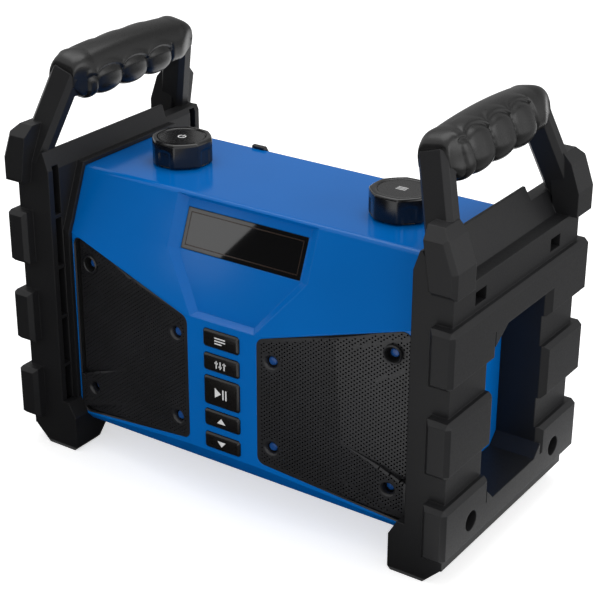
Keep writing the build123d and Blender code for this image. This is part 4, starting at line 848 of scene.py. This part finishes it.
def hiddenCard(name, corners, colour, strength):
    # a card that only reflections see
    mesh = bpy.data.meshes.new(name)
    mesh.from_pydata(corners, [], [tuple(range(len(corners)))])
    card = bpy.data.objects.new(name, mesh)
    bpy.context.scene.collection.objects.link(card)
    paint, shader = newMaterial(name + "Paint")
    setShader(shader, {"Base Color": toLinear(colour), "Roughness": 1.0,
                       "Specular IOR Level": 0.0, "Emission Color": (1, 1, 1, 1),
                       "Emission Strength": strength})
    mesh.materials.append(paint)
    for kind in ("camera", "diffuse", "shadow", "transmission", "volume_scatter"):
        setattr(card, "visible_" + kind, False)


# Dark and dim cards keep the white floor and background out of the gloss: under and before the
# front, on the floor beside the right end, behind the top and upright before the front.
# Corners in metres, then how brightly each glows
flags = {
    "floorFlag": ([(-2.4, -2.4, 0.002), (-1.4, -2.4, 0.002), (0.17, -0.09, 0.002),
                   (0.17, 0.09, 0.002), (-2.4, 0.09, 0.002)], 0.0),
    "rightFlag": ([(0.2, -0.6, 0.002), (1.6, -0.6, 0.002), (1.6, 1.8, 0.002),
                   (0.2, 1.8, 0.002)], 0.3),
    "rearFlag": ([(-3.0, 1.6, 0.0), (1.2, 1.6, 0.0), (1.2, 1.6, 2.2), (-3.0, 1.6, 2.2)], 0.36),
    "frontFlag": ([(-2.6, -1.8, 0.0), (0.1, -1.8, 0.0), (0.1, -1.8, 1.3), (-2.6, -1.8, 1.3)], 0.06),
}
for name, (corners, strength) in flags.items():
    hiddenCard(name, corners, studio["flag"], strength)
# A bright card whose mirror image covers the left part of the display window, up to a slant line.
# It is placed for the camera above; in other views its image moves or leaves the window
windowCard = {"distance": 0.7, "strength": 2.4, "lowRight": 0.34, "highRight": 0.57}
cardCorners = []
for share, up in ((0.0, lowUp), (windowCard["lowRight"], lowUp),
                  (windowCard["highRight"], highUp), (0.0, highUp)):
    spot = onWindow(leftX + (rightX - leftX) * share, up, 0.0) * mm
    ray = (spot - Vector(view["place"])).normalized()
    cardCorners.append(spot + (ray - facetOut * 2 * ray.dot(facetOut)) * windowCard["distance"])
hiddenCard("windowCard", cardCorners, "#000000", windowCard["strength"])
floorMesh = bpy.data.meshes.new("floor")
half = studio["floorHalf"]
floorMesh.from_pydata([(x, y, 0) for x, y in bar(-half, -half, half, half)], [], [(0, 1, 2, 3)])
floor = bpy.data.objects.new("floor", floorMesh)
bpy.context.scene.collection.objects.link(floor)
floorPaint, floorShader = newMaterial("paperSweep")
setShader(floorShader, {"Base Color": toLinear(studio["floor"]), "Roughness": studio["floorRough"],
                        "Emission Color": (1, 1, 1, 1)})
seen = backgroundRays(floorPaint)
glow = addNode(floorPaint, "ShaderNodeMath", {"operation": "MULTIPLY", 1: studio["floorGlow"]},
               {0: (seen, "Value")})
joinNodes(floorPaint, glow, "Value", floorShader, "Emission Strength")
floorMesh.materials.append(floorPaint)
print("studio lit")
